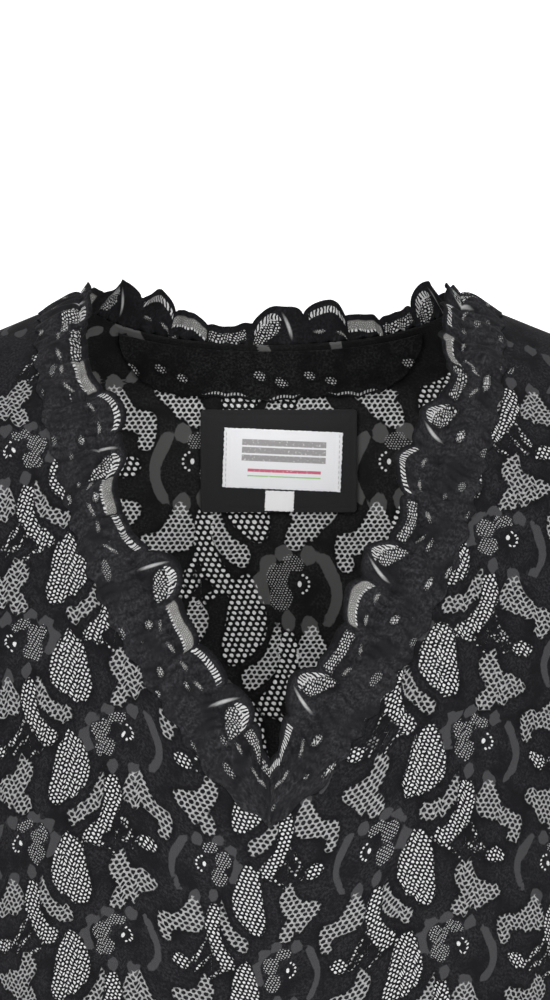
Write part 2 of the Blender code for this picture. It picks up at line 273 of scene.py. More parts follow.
def read(heights, values, at):
    """Value at the heights in at: a cubic between rows, whose slope at a row is that of its neighbours."""
    keys = np.array(heights, dtype=float)[::-1]
    values = np.array(values, dtype=float)[::-1]
    slopes = np.gradient(values, keys)
    at = np.clip(at, keys[0], keys[-1])
    i = np.clip(np.searchsorted(keys, at) - 1, 0, len(keys) - 2)
    width = keys[i + 1] - keys[i]
    f = (at - keys[i]) / width
    start = (1 + 2 * f) * (1 - f) ** 2 * values[i] + f * (1 - f) ** 2 * width * slopes[i]
    end = f**2 * (3 - 2 * f) * values[i + 1] - f**2 * (1 - f) * width * slopes[i + 1]
    return start + end


def ease(value, low, high):
    """0 below low, 1 above high, with a smooth rise between."""
    f = np.clip((value - low) / (high - low), 0, 1)
    return f * f * (3 - 2 * f)


def unit(vectors):
    """Vectors at length one."""
    return vectors / np.linalg.norm(vectors, axis=-1, keepdims=True)


# %% The figure as a formula
SHOULDER_SLOPE = (NECK_POINT[1] - SHOULDER_POINT[1]) / (SHOULDER_POINT[0] - NECK_POINT[0])
LEAST_DEPTH = 0.15


def full_depth(in_front, z):
    """Depth of the figure's section at z, in front or behind."""
    front = read(BODY_HEIGHT, BODY_FRONT_DEPTH, z)
    return np.where(in_front, front, read(BODY_HEIGHT, BODY_BACK_DEPTH, z))


def shoulder_line(x):
    """Height of the straight line through the neck point and the shoulder point, on both sides."""
    return NECK_POINT[1] + SHOULDER_SLOPE * (NECK_POINT[0] - np.abs(x))


def section_and_rounding(x, z):
    """How far the section at x falls toward its side, squared, and how far z is below the shoulder line."""
    across = np.clip(np.abs(x) / read(BODY_HEIGHT, BODY_HALF_WIDTH, z), 0, 1)
    section = (1 - across**SECTION_POWER) ** (2 / SECTION_POWER)
    below = np.clip((shoulder_line(x) - z) / SHOULDER_ROUNDING, -1, 1)
    return section, 1 - (1 - below) ** 2


def on_form(x, z, front):
    """Points of the figure: depth is the full one times the roots of section and rounding."""
    section, rounding = section_and_rounding(x, z)
    depth = full_depth(front, z) * np.sqrt(np.clip(section * rounding, 0, None))
    depth = np.maximum(depth, LEAST_DEPTH)
    return np.stack(np.broadcast_arrays(x, np.where(front, -depth, depth), z), axis=-1)


def form_level(points):
    """0 on the figure, more outside it: (y / full depth) squared less section times rounding."""
    x, y, z = points[..., 0], points[..., 1], points[..., 2]
    section, rounding = section_and_rounding(x, z)
    return (y / full_depth(y < 0, z)) ** 2 - section * rounding


def form_slope(points):
    """Gradient of form_level, from small steps along the three axes."""
    step = 0.2
    slopes = [form_level(points + step * axis) - form_level(points - step * axis) for axis in np.eye(3)]
    return np.stack(slopes, axis=-1) / (2 * step)


def outward(points):
    """Directions that point straight out of the figure."""
    return unit(form_slope(points))


def onto_form(points):
    """Points moved along the slope until they lie on the figure."""
    for _ in range(6):
        slope = form_slope(points)
        points = points - form_level(points)[..., None] * slope / np.sum(slope**2, axis=-1, keepdims=True)
    return points


print("front depth at the bust", float(full_depth(True, -200)), "mm")


# %% [markdown]
# ## The flower lace
# Two rows of flowers repeat: in one the dotted arc opens to the right, in the next, half a repeat down,
# everything is mirrored and shifted. Round each flower lie patches of net, some with bright holes in
# dark threads, some with dark dots in a bright mesh, and grey sheer petals. Drawing each hole as
# geometry would need millions of faces, so the cloth's points carry the distance to the nearest patch
# edge, worked out once for one repeat, and the material cuts the fine holes inside it.

# %% Patches of the lace, drawn round one flower in millimetres, x to the right and y up
REPEAT_WIDTH = 91.0
ROW_HEIGHT = 57.0
ROW_SHIFT = 41.4
DENSE_NET = [
    [(-24.5, 4.5), (-19, -4), (-16, -14), (-17, -26), (-27, -36), (-33, -37), (-35.5, -30),
     (-33.5, -17), (-31, -4)],
    [(-44, 36), (-40, 31), (-40.5, 20), (-37, 10), (-31, 3), (-33, -3), (-38, -2), (-43, 4),
     (-47, 14), (-49, 22), (-47, 32)],
    [(24, -1), (29, 2), (34, -2), (33, -7), (27, -6)],
    [(-48.5, 13), (-46.5, 14), (-50, 5), (-54.5, -2), (-56.5, -1), (-52.5, 6)],
    [(-45.5, 5), (-43.5, 6), (-48.5, -2), (-53.5, -7), (-55, -6), (-50, 0)],
    [(-37, -1.5), (-35, -3), (-41.5, -7), (-46, -11), (-47, -9.5), (-42, -4.5)],
]
OPEN_NET = [
    [(-10, -17), (-9, -27), (-10, -37), (-16, -45), (-24, -49), (-26, -41), (-17, -35), (-13, -26)],
    [(0, 51), (2.3, 43), (6, 39.5), (16.5, 37), (16, 31), (10, 25.5), (5.3, 20), (1, 26.5),
     (-5, 33.5), (-7, 42), (-4, 47)],
    [(36, 38), (42, 27), (40, 17), (30, 15), (24, 13), (25, 7), (19.5, 6), (17, 14), (18, 22),
     (26, 24), (31, 31)],
    [(-6.5, 18), (-4, 27), (1.5, 28), (2.3, 19), (-1.5, 16)],
]
FINE_NET = [
    [(-6, 6), (-12, 9), (-15, 4), (-13, -1), (-7, 0)],
    [(-5, -2), (-12, -3), (-13, -9), (-8, -12), (-4, -8)],
    [(-7, 8), (-6, 13), (1, 11.5), (0.5, 6.5)],
]
GREY_PETALS = [
    [(-9.5, 12), (-10.5, 16), (-7, 17.5), (-4, 15.5), (-5, 12)],
    [(2.5, 9.5), (1, 14), (4, 17.5), (7, 15), (6.5, 10.5)],
    [(9, 12.5), (13, 12.5), (16, 7), (18.5, 1), (19, -7), (17, -14), (14, -19), (11.5, -17.5),
     (15, -10), (15.5, -3), (13, 3)],
    [(-13, 13), (-18, 11), (-17, 6), (-21.5, 2), (-19, -2.5), (-18, -8), (-13.5, -8.5), (-15, -3),
     (-16, 2), (-14.5, 7), (-10.5, 10.5)],
    [(4, -15), (1.5, -20), (5, -25.5), (8.5, -20)],
    [(-5.5, -12.5), (-8, -17), (-5, -22), (-2.5, -17)],
]
print("patches", len(DENSE_NET), len(OPEN_NET), len(FINE_NET), len(GREY_PETALS))


# %% Distances to the patches over one repeat
TILE_STEP = 0.75
TILE_COLUMNS = round(REPEAT_WIDTH / TILE_STEP)
TILE_ROWS = round(2 * ROW_HEIGHT / TILE_STEP)
FAR_OUTSIDE = -9.0
tile_x, tile_y = np.meshgrid(
    np.arange(TILE_COLUMNS) * REPEAT_WIDTH / TILE_COLUMNS,
    np.arange(TILE_ROWS) * 2 * ROW_HEIGHT / TILE_ROWS,
)


def smooth_outline(points, steps=5):
    """A closed curve through the points: the Catmull-Rom cubic between each two of them."""
    p1 = np.array(points, dtype=float)[:, None]
    p0, p2, p3 = np.roll(p1, 1, axis=0), np.roll(p1, -1, axis=0), np.roll(p1, -2, axis=0)
    t = (np.arange(steps) / steps)[None, :, None]
    curve = 2 * p1 + (p2 - p0) * t + (2 * p0 - 5 * p1 + 4 * p2 - p3) * t**2
    curve = curve + (3 * p1 - p0 - 3 * p2 + p3) * t**3
    return (curve / 2).reshape(-1, 2)


def inside_distance(x, y, outline):
    """Distance to a closed outline, positive inside: the nearest of its segments, signed by crossings."""
    ends = np.roll(outline, -1, axis=0)
    along_x, along_y = (ends - outline).T
    from_x = x[..., None] - outline[:, 0]
    from_y = y[..., None] - outline[:, 1]
    f = np.clip((from_x * along_x + from_y * along_y) / (along_x**2 + along_y**2), 0, 1)
    distance = np.sqrt(((from_x - f * along_x) ** 2 + (from_y - f * along_y) ** 2).min(axis=-1))
    spans = (outline[:, 1] > y[..., None]) != (ends[:, 1] > y[..., None])
    meets = from_y * along_x / np.where(along_y == 0, 1e-9, along_y) > from_x
    inside = (spans & meets).sum(axis=-1) % 2 == 1
    return np.where(inside, distance, -distance)


def patch_field(patches):
    """The greatest inside distance to any patch, its mirrored twin and their copies, over the repeat."""
    field = np.full(tile_x.shape, FAR_OUTSIDE)
    size = np.array([REPEAT_WIDTH, 2 * ROW_HEIGHT])
    offsets = np.stack(np.meshgrid([-1, 0, 1], [-1, 0, 1]), -1).reshape(-1, 2) * size
    for patch in patches:
        outline = smooth_outline(patch)
        for twin in (outline, outline * [-1, 1] + [ROW_SHIFT, ROW_HEIGHT]):
            for offset in offsets:
                low = (twin + offset).min(axis=0) + FAR_OUTSIDE
                high = (twin + offset).max(axis=0) - FAR_OUTSIDE
                if np.all(low < size) and np.all(high > 0):
                    field = np.maximum(field, inside_distance(tile_x, tile_y, twin + offset))
    return field


LACE_FIELDS = {
    "dense_net": patch_field(DENSE_NET),
    "open_net": patch_field(OPEN_NET),
    "fine_net": patch_field(FINE_NET),
    "grey": patch_field(GREY_PETALS),
}
print("share of net", {name: round(float((field > 0).mean()), 2) for name, field in LACE_FIELDS.items()})


# %% [markdown]
# The tile is now read at any point of the cloth, with a value between its four nearest cells. Near a seam
# or hem the cloth is solid, so there the nets' distances are pushed below zero, and the flower's heart is
# moved out of reach.

# %% Reading the repeat anywhere on the cloth
HEART_AWAY = 50.0


def sample(field, column, row, wrap):
    """Bilinear value of a grid at fractional columns and rows, repeated where wrap is true."""
    rows, columns = field.shape
    i = np.floor(column).astype(int)
    j = np.floor(row).astype(int)
    a, b = column - i, row - j
    if wrap:
        i0, i1, j0, j1 = i % columns, (i + 1) % columns, j % rows, (j + 1) % rows
    else:
        i0, i1 = np.clip(i, 0, columns - 1), np.clip(i + 1, 0, columns - 1)
        j0, j1 = np.clip(j, 0, rows - 1), np.clip(j + 1, 0, rows - 1)
    low = field[j0, i0] * (1 - a) + field[j0, i1] * a
    high = field[j1, i0] * (1 - a) + field[j1, i1] * a
    return low * (1 - b) + high * b


def lace_at(x, y, solid):
    """The lace's values at places of the repeat; solid is how far a point lies inside uncut cloth."""
    column = x / REPEAT_WIDTH * TILE_COLUMNS
    row = y / (2 * ROW_HEIGHT) * TILE_ROWS
    values = {name: sample(field, column, row, True) for name, field in LACE_FIELDS.items()}
    for name in ("dense_net", "open_net", "fine_net"):
        values[name] = np.minimum(values[name], -solid)
    in_odd_row = np.round(y / ROW_HEIGHT) % 2 == 1
    centre_y = np.round(y / ROW_HEIGHT) * ROW_HEIGHT
    from_x = x - np.where(in_odd_row, ROW_SHIFT, 0)
    from_x = from_x - np.round(from_x / REPEAT_WIDTH) * REPEAT_WIDTH
    from_x = np.where(in_odd_row, -from_x, from_x) + np.where(solid > 0, HEART_AWAY, 0.0)
    values["from_flower"] = np.stack([from_x, y - centre_y, 0 * y], axis=-1)
    values["shade"] = 0.0 * solid
    return values


print("at a flower's centre", {name: round(float(field[0, 0]), 1) for name, field in LACE_FIELDS.items()})


# %% [markdown]
# ## From a grid of points to a skin
# Every piece below ends here: a grid of points in millimetres becomes a mesh of four-sided faces with
# its flat place on the cloth as a UV map and the lace's values as attributes. Solidify then gives the
# skin its small thickness. The mesh is filled from whole arrays.

# %% The skin maker
def grid_faces(rows, columns, closed=False, flip=False):
    """Corner numbers of the faces between neighbouring points of a grid."""
    index = np.arange(rows * columns).reshape(rows, columns)
    if closed:
        index = np.concatenate([index, index[:, :1]], axis=1)
    corners = [index[:-1, :-1], index[:-1, 1:], index[1:, 1:], index[1:, :-1]]
    if flip:
        corners.reverse()
    return np.stack(corners, axis=-1).reshape(-1, 4)


def make_skin(name, points, faces, cloth, values, material, thickness=0.5, grow=-1):
    """A piece from points, faces, flat places on the cloth (for points or face corners) and attributes."""
    used, faces = np.unique(faces, return_inverse=True)
    faces = faces.reshape(-1, 4)
    mesh = bpy.data.meshes.new(name)
    mesh.vertices.add(len(used))
    mesh.vertices.foreach_set("co", (points[used] * MM).ravel())
    mesh.loops.add(faces.size)
    mesh.loops.foreach_set("vertex_index", faces.ravel())
    mesh.polygons.add(len(faces))
    mesh.polygons.foreach_set("loop_start", np.arange(0, faces.size, 4))
    mesh.update(calc_edges=True)
    mesh.shade_smooth()
    layer = mesh.uv_layers.new(name="cloth")
    corners = cloth if cloth.shape[:2] == faces.shape else cloth[used][faces]
    layer.data.foreach_set("uv", (corners * MM).ravel())
    for label, value in values.items():
        kind, key = ("FLOAT_VECTOR", "vector") if value.ndim == 2 else ("FLOAT", "value")
        attribute = mesh.attributes.new(label, kind, "POINT")
        attribute.data.foreach_set(key, value[used].astype(np.float32).ravel())
    mesh.materials.append(material)
    piece = bpy.data.objects.new(name, mesh)
    SCENE.collection.objects.link(piece)
    if thickness:
        wall = piece.modifiers.new("cloth", "SOLIDIFY")
        wall.thickness = thickness * MM
        wall.offset = grow
    print(name, len(used), "points", len(faces) * (4 if thickness else 2), "triangles")
    return piece


# %% [markdown]
# ## Lace as a material
# The same node group colours every lace. Three crossing cosine waves make a honeycomb: where their sum
# is high the holes of the dense net lie, and where it is low the mesh of the open net. The group opens
# holes only inside the patches whose distances the points carry. A hole isn't quite empty: a pale sheer
# film stays in it, as the picture shows light cloth behind the lace and never the other side of it.

# %% Net and lace node groups
def make_net_group():
    """Wave = cos(p + q) + cos(p - q) + cos(2 q), p across and q along the net, from -1.5 to 3."""
    tree, start, end = new_group(
        "net wave", {"Cloth": [0.0, 0.0, 0.0], "Across": 2.9, "Along": 4.6, "Slant": 0.25}, {"Wave": float}
    )
    x, y, _ = parts_of(tree, start["Cloth"])
    sheared = calc(tree, "MULTIPLY_ADD", y, start["Slant"], x)
    p = calc(tree, "DIVIDE", calc(tree, "MULTIPLY", sheared, 2 * math.pi), start["Across"])
    q = calc(tree, "DIVIDE", calc(tree, "MULTIPLY", y, 2 * math.pi), start["Along"])
    both = calc(
        tree,
        "ADD",
        calc(tree, "COSINE", calc(tree, "ADD", p, q)),
        calc(tree, "COSINE", calc(tree, "SUBTRACT", p, q)),
    )
    wave = calc(tree, "ADD", both, calc(tree, "COSINE", calc(tree, "MULTIPLY", q, 2.0)))
    tree.links.new(wave, end.inputs["Wave"])
    return tree


NET = make_net_group()
print("node group", NET.name)


# %% [markdown]
# The flower's heart is a small upright hole with an arc of six dots round it. It is drawn with formulas
# of the place measured from the flower, because dots under a millimetre would be lost between the points.

# %% The heart of a flower
HEART_HALF_WIDTH = 0.95
HEART_HALF_HEIGHT = 1.4
DOT_RING_RADIUS = 4.4
DOT_RADIUS = 0.62
DOT_ANGLE = math.radians(28)
DOT_ARC = math.radians(84)
WHOLE_TURNS = 20.0


def flower_heart(tree, from_flower):
    """1 in the hole at a flower's centre and in the six dots on an arc round it."""
    x, y, _ = parts_of(tree, from_flower)
    wide = calc(tree, "POWER", calc(tree, "DIVIDE", x, HEART_HALF_WIDTH), 2.0)
    high = calc(tree, "POWER", calc(tree, "DIVIDE", y, HEART_HALF_HEIGHT), 2.0)
    heart = calc(tree, "SUBTRACT", 1.0, rise(tree, calc(tree, "ADD", wide, high), 0.6, 1.3))
    angle = calc(tree, "ARCTAN2", y, x)
    turn = calc(tree, "FRACT", calc(tree, "ADD", calc(tree, "DIVIDE", angle, DOT_ANGLE), WHOLE_TURNS))
    aside = times(tree, calc(tree, "SUBTRACT", turn, 0.5), DOT_ANGLE * DOT_RING_RADIUS)
    apart = calc(tree, "SUBTRACT", length(tree, x, y), DOT_RING_RADIUS)
    gap = length(tree, aside, apart)
    dot = calc(tree, "SUBTRACT", 1.0, rise(tree, gap, DOT_RADIUS - 0.25, DOT_RADIUS + 0.15))
    in_arc = calc(tree, "LESS_THAN", calc(tree, "ABSOLUTE", angle), DOT_ARC)
    return most(tree, heart, times(tree, dot, in_arc))


def warped(tree, vector, amount):
    """The vector, shifted by slow noise of up to half the amount, as threads drift in soft cloth."""
    drift = tree.nodes.new("ShaderNodeTexNoise")
    drift.inputs["Scale"].default_value = 0.22
    tree.links.new(vector, drift.inputs["Vector"])
    centred = tree.nodes.new("ShaderNodeVectorMath")
    centred.operation = "SUBTRACT"
    centred.inputs[1].default_value = (0.5, 0.5, 0.5)
    tree.links.new(drift.outputs["Color"], centred.inputs[0])
    scaled = tree.nodes.new("ShaderNodeVectorMath")
    scaled.operation = "SCALE"
    tree.links.new(centred.outputs[0], scaled.inputs[0])
    tree.links.new(amount, scaled.inputs["Scale"])
    total = tree.nodes.new("ShaderNodeVectorMath")
    tree.links.new(vector, total.inputs[0])
    tree.links.new(scaled.outputs[0], total.inputs[1])
    return total.outputs[0]


print("dots of", 2 * DOT_RADIUS, "mm on an arc of", round(math.degrees(2 * DOT_ARC)), "degrees")


# %% [markdown]
# Now the parts of the lace are put together. Inside a patch its net opens holes. Thin slits and short
# bars open the narrow lace of the neck. What stays closed is thread: dark along the cords that frame a
# patch, grainy in slow clouds elsewhere, and lighter where a petal is sheer.

# %% The lace group
NET_CELLS = {"dense": (2.05, 3.3, 0.25), "open": (2.7, 4.0, -0.12), "fine": (1.4, 2.1, 0.2)}
BAR_PITCH = 1.5
FINE_OPENNESS = 0.52
SLIT_OPENNESS = 0.7
CORD_REACH = 3.0
CORD_BLACK = (0.0030, 0.0030, 0.0034, 1)
NO_COLOUR = (0.0, 0.0, 0.0, 1.0)
LACE_INPUTS = {
    "Cloth": [0.0, 0.0, 0.0],
    "From Flower": [0.0, 0.0, 0.0],
    "Dense": 0.0,
    "Open": 0.0,
    "Fine": 0.0,
    "Grey": 0.0,
    "Bars": FAR_OUTSIDE,
    "Slits": FAR_OUTSIDE,
    "Shade": 0.0,
    "Thread": NO_COLOUR,
    "Grain": NO_COLOUR,
    "Petal": NO_COLOUR,
    "Film": NO_COLOUR,
    "Film Opacity": 0.6,
    "Net Size": 1.0,
    "Dense Size": 1.0,
    "Warp": 0.5,
    "Mesh Share": 0.46,
    "Growth": 0.0,
}


def net_waves(tree, cloth, start):
    """The wave of each net, whose cells have the width, height and slant in NET_CELLS, times the size."""
    size = start["Net Size"]
    sizes = {"dense": times(tree, size, start["Dense Size"]), "open": size, "fine": size}
    waves = {}
    for name, (across, along, slant) in NET_CELLS.items():
        cell = {"Across": times(tree, sizes[name], across), "Along": times(tree, sizes[name], along)}
        waves[name] = use_group(tree, NET, Cloth=cloth, Slant=slant, **cell)["Wave"]
    return waves


def net_holes(tree, cloth, start, edge):
    """How open the nets are: a dense net at its wave's crests, an open mesh in the troughs, a fine net."""
    waves = net_waves(tree, cloth, start)
    dense = times(tree, rise(tree, edge["Dense"], -0.1, 0.8), rise(tree, waves["dense"], -0.2, 1.1))
    mesh = rise(tree, times(tree, waves["open"], -1.0), -0.3, 1.0)
    patchy = calc(tree, "MULTIPLY_ADD", rise(tree, noise(tree, cloth, 0.8), 0.3, 0.6), 0.45, 0.6)
    mesh = times(tree, rise(tree, edge["Open"], -0.1, 0.8), mesh, patchy, start["Mesh Share"])
    fine = times(tree, rise(tree, edge["Fine"], -0.1, 0.4), rise(tree, waves["fine"], 0.2, 1.1))
    return most(tree, dense, mesh, times(tree, fine, FINE_OPENNESS))


def cut_motifs(tree, cloth, start):
    """How open the small motifs are: a flower's heart, patches cut in bars, and slits."""
    across, _, _ = parts_of(tree, cloth)
    bar = calc(tree, "COSINE", times(tree, across, 2 * math.pi / BAR_PITCH))
    bar = times(tree, rise(tree, start["Bars"], -0.1, 0.3), rise(tree, bar, -0.5, 0.3))
    slit = times(tree, rise(tree, start["Slits"], -0.2, 0.8), SLIT_OPENNESS)
    return most(tree, flower_heart(tree, start["From Flower"]), bar, slit)


def thread_colour(tree, cloth, start, cord):
    """Thread that is grainy in clouds, and darker along the cords and where the piece is in shade."""
    grain = rise(tree, noise(tree, cloth, 0.9, 4.0), 0.35, 0.75)
    thread = blend(tree, grain, start["Thread"], start["Grain"])
    cloud = rise(tree, noise(tree, cloth, 0.08, 3.0), 0.42, 0.68)
    thread = blend(tree, cloud, thread, start["Thread"])
    return blend(tree, most(tree, times(tree, cord, 0.5), start["Shade"]), thread, CORD_BLACK)


def make_lace_group():
    """Colour, opacity and height of lace from its patch distances and its flat place, in millimetres."""
    tree, start, end = new_group("lace", LACE_INPUTS, {"Color": tuple, "Opacity": float, "Height": float})
    cloth = warped(tree, start["Cloth"], start["Warp"])
    uneven = calc(tree, "SUBTRACT", noise(tree, cloth, 0.35), 0.5)
    uneven = calc(tree, "ADD", uneven, start["Growth"])
    edge = {name: calc(tree, "ADD", start[name], uneven) for name in ("Dense", "Open", "Fine", "Grey")}
    hole = most(tree, net_holes(tree, cloth, start, edge), cut_motifs(tree, cloth, start))
    grey = rise(tree, edge["Grey"], -0.3, 0.3)
    to_dense = calc(tree, "ABSOLUTE", start["Dense"])
    to_open = calc(tree, "ABSOLUTE", start["Open"])
    to_edge = calc(tree, "MINIMUM", to_dense, to_open)
    cord = calc(tree, "SUBTRACT", 1.0, rise(tree, to_edge, 0.2, CORD_REACH))
    closed = blend(tree, grey, thread_colour(tree, cloth, start, cord), start["Petal"])
    film = blend(tree, times(tree, noise(tree, cloth, 0.6), 0.35), start["Film"], start["Petal"])
    thin = times(tree, hole, calc(tree, "SUBTRACT", 1.0, start["Film Opacity"]))
    height = calc(tree, "MULTIPLY_ADD", cord, 0.5, times(tree, noise(tree, cloth, 2.4, 3.0), 0.5))
    sunk = calc(tree, "MULTIPLY_ADD", hole, 0.6, times(tree, grey, 0.25))
    tree.links.new(blend(tree, hole, closed, film), end.inputs["Color"])
    tree.links.new(calc(tree, "SUBTRACT", 1.0, thin), end.inputs["Opacity"])
    tree.links.new(calc(tree, "SUBTRACT", height, sunk), end.inputs["Height"])
    return tree


LACE = make_lace_group()
print("node group", LACE.name, "with", len(LACE.nodes), "nodes")


# %% [markdown]
# Each lace is one material that places the group with its own colours. The front is charcoal, as it gets
# the light: front and back are one black lace, and their different colours are painted light, the back's
# thread and film lighter to make up for the shade inside the blouse. The back is seen from inside, with
# larger holes that look narrower in the shade. The neck's lace has smaller cells and is the only one with
# bars and slits.

# %% Materials of the laces
LACE_RELIEF = 0.35


def cloth_place(tree):
    """The piece's flat place on the cloth, in millimetres."""
    uv = tree.nodes.new("ShaderNodeUVMap")
    uv.uv_map = "cloth"
    scale = tree.nodes.new("ShaderNodeVectorMath")
    scale.operation = "SCALE"
    scale.inputs["Scale"].default_value = 1 / MM
    tree.links.new(uv.outputs[0], scale.inputs[0])
    return scale.outputs[0]


def own_value(tree, label, kind="Fac"):
    """A value that the piece's points carry."""
    node = tree.nodes.new("ShaderNodeAttribute")
    node.attribute_name = label
    return node.outputs[kind]


def bump_into(tree, shader, height, relief):
    """Feeds a height through a Bump node; relief is the real height of 1, in millimetres."""
    node = tree.nodes.new("ShaderNodeBump")
    node.inputs["Distance"].default_value = relief * MM
    tree.links.new(height, node.inputs["Height"])
    tree.links.new(node.outputs[0], shader.inputs["Normal"])


def make_lace(
    name,
    colours,
    film,
    film_opacity,
    net_size=1.0,
    dense_size=1.0,
    mesh_share=0.46,
    growth=0.0,
    warp=1.6,
    bars=False,
):
    """Lace with its own colours and film; the narrow laces also have patches cut in short bars."""
    material, tree, shader = new_material(name, 0.85)
    lace = use_group(
        tree,
        LACE,
        Cloth=cloth_place(tree),
        From_Flower=own_value(tree, "from_flower", "Vector"),
        Dense=own_value(tree, "dense_net"),
        Open=own_value(tree, "open_net"),
        Fine=own_value(tree, "fine_net"),
        Grey=own_value(tree, "grey"),
        Bars=own_value(tree, "bars") if bars else FAR_OUTSIDE,
        Slits=own_value(tree, "slits") if bars else FAR_OUTSIDE,
        Shade=own_value(tree, "shade"),
        Thread=(*colours[0], 1),
        Grain=(*colours[1], 1),
        Petal=(*colours[2], 1),
        Film=(film, film, film, 1),
        Film_Opacity=film_opacity,
        Net_Size=net_size,
        Dense_Size=dense_size,
        Warp=warp,
        Mesh_Share=mesh_share,
        Growth=growth,
    )
    tree.links.new(lace["Color"], shader.inputs["Base Color"])
    tree.links.new(lace["Opacity"], shader.inputs["Alpha"])
    bump_into(tree, shader, lace["Height"], LACE_RELIEF)
    shader.inputs["Sheen Weight"].default_value = 0.01
    shader.inputs["Sheen Roughness"].default_value = 0.5
    shader.inputs["Specular IOR Level"].default_value = 0.04
    return material


# Colours of the thread, of its grain and of the sheer petals
# Painted light: front and sleeves get tones for the lit outside, the back lighter tones and below a brighter
# film, which make up for the shade inside the blouse
LIT_OUTSIDE_TONES = (0.0060, 0.0060, 0.0068), (0.019, 0.019, 0.0215), (0.036, 0.036, 0.038)
RUFFLE_CHARCOAL = (0.0100, 0.0100, 0.0112), (0.031, 0.031, 0.0345), (0.12, 0.118, 0.112)
SHADE_LIFTED_INSIDE_TONES = (0.0105, 0.0105, 0.0108), (0.026, 0.0258, 0.0258), (0.085, 0.084, 0.083)
BAND_BLACK = (0.0045, 0.0045, 0.0050), (0.0190, 0.0190, 0.0195), (0.04, 0.04, 0.04)
FRONT_LACE = make_lace("front lace", LIT_OUTSIDE_TONES, 0.62, 0.8)
BACK_LACE = make_lace("back lace", SHADE_LIFTED_INSIDE_TONES, 0.74, 0.56, dense_size=1.5, mesh_share=0.85, growth=0.8)
SLEEVE_LACE = make_lace("sleeve lace", LIT_OUTSIDE_TONES, 0.62, 0.75)
RUFFLE_LACE = make_lace("ruffle lace", RUFFLE_CHARCOAL, 0.56, 0.75, net_size=0.75, warp=3.2, bars=True)
BAND_LACE = make_lace("neck band lace", BAND_BLACK, 0.50, 0.85, net_size=0.75, bars=True)
LACES = (FRONT_LACE, BACK_LACE, SLEEVE_LACE, RUFFLE_LACE, BAND_LACE)
print("laces", ", ".join(lace.name for lace in LACES))


# %% [markdown]
# The patch, label, tab and stitching threads are plain weaves. A weave is two crossing cosine waves whose
# product chooses between the two yarns. The label's stripes are fields of another colour, worn a little
# by noise, in place of the words of a real label.

# %% Woven materials
GREY_YARN = (0.33, 0.32, 0.32)
RED_YARN = (0.62, 0.12, 0.20)
GREEN_YARN = (0.35, 0.62, 0.22)
# For each stripe its low and high edge, its left and right edge and its colour
LABEL_STRIPES = (
    (6.2, 9.0, -19, 20, GREY_YARN),
    (2.6, 5.4, -19, 20, GREY_YARN),
    (-1.0, 1.8, -19, 20, GREY_YARN),
    (-6.0, -4.6, -16, 18, RED_YARN),
    (-8.2, -7.6, -16, 18, GREEN_YARN),
)


def make_woven(name, warp, weft, pitch, roughness, relief, stripes=()):
    """Plain weave: threads across show where a wave across is the higher one, threads along elsewhere.

    A stripe is a field in which one colour is woven in.
    """
    material, tree, shader = new_material(name, roughness)
    cloth = cloth_place(tree)
    x, y, _ = parts_of(tree, cloth)
    wave_x = calc(tree, "COSINE", times(tree, x, 2 * math.pi / pitch))
    wave_y = calc(tree, "COSINE", times(tree, y, 2 * math.pi / pitch))
    weave = calc(tree, "MULTIPLY_ADD", times(tree, wave_x, wave_y), 0.5, 0.5)
    colour = blend(tree, weave, (*warp, 1), (*weft, 1))
    worn = noise(tree, cloth, 0.9, 3.0)
    for low, high, left, right, tint in stripes:
        inside_y = calc(tree, "COMPARE", y, (low + high) / 2, (high - low) / 2)
        inside_x = calc(tree, "COMPARE", x, (left + right) / 2, (right - left) / 2)
        share = times(tree, inside_y, inside_x, rise(tree, worn, 0.2, 0.45))
        colour = blend(tree, share, colour, (*tint, 1))
    tree.links.new(colour, shader.inputs["Base Color"])
    bump_into(tree, shader, calc(tree, "ADD", weave, worn), relief)
    shader.inputs["Sheen Weight"].default_value = 0.1
    return material


PATCH_CLOTH = make_woven(
    "patch cloth", (0.0035, 0.0035, 0.0045), (0.0065, 0.0065, 0.0078), 0.7, 0.85, 0.12
)
LABEL_SATIN = make_woven(
    "label satin", (0.90, 0.90, 0.92), (0.84, 0.84, 0.86), 0.55, 0.55, 0.06, LABEL_STRIPES
)
TAB_TAPE = make_woven("tab tape", (0.90, 0.90, 0.90), (0.84, 0.84, 0.84), 0.6, 0.6, 0.06)
BLACK_THREAD = make_woven("black thread", (0.020, 0.020, 0.022), (0.032, 0.032, 0.034), 0.4, 0.6, 0.05)
PALE_THREAD = make_woven("pale thread", (0.55, 0.55, 0.56), (0.66, 0.66, 0.66), 0.4, 0.6, 0.05)
print("materials", len(bpy.data.materials))


# %% [markdown]
# ## Front and back
# Both are grids between two curves: on the inside the neck edge and the centre line, on the outside the
# armhole and the side seam. Rows run from the shoulder down to the hem. One half is worked out and
# mirrored, and the creases are then laid over both halves, so that the sides differ as worn
# cloth does.

# %% Rows and columns of a panel
UPPER_ROWS = 116
LOWER_ROWS = 106
BACK_NECK_ROWS = 66
HALF_COLUMNS = 92
SKIN_LIFT = 1.0
HEM_WIDTH = 9.0
SEAM_WIDTH = 3.0
SHOULDER_SOLID = 24.0
NECK_SOLID = 20.0
NECK_CORNER_SOLID = 8.0
CREASE_FADE = 22
HEM_THICKENING = 0.35


def back_neck_edge(turn):
    """Back neck seam: part of a low oval from the neck point (turn 0) to the centre (a quarter circle)."""
    return NECK_POINT[0] * np.cos(turn), BACK_NECK_Z + (NECK_POINT[1] - BACK_NECK_Z) * (1 - np.sin(turn))


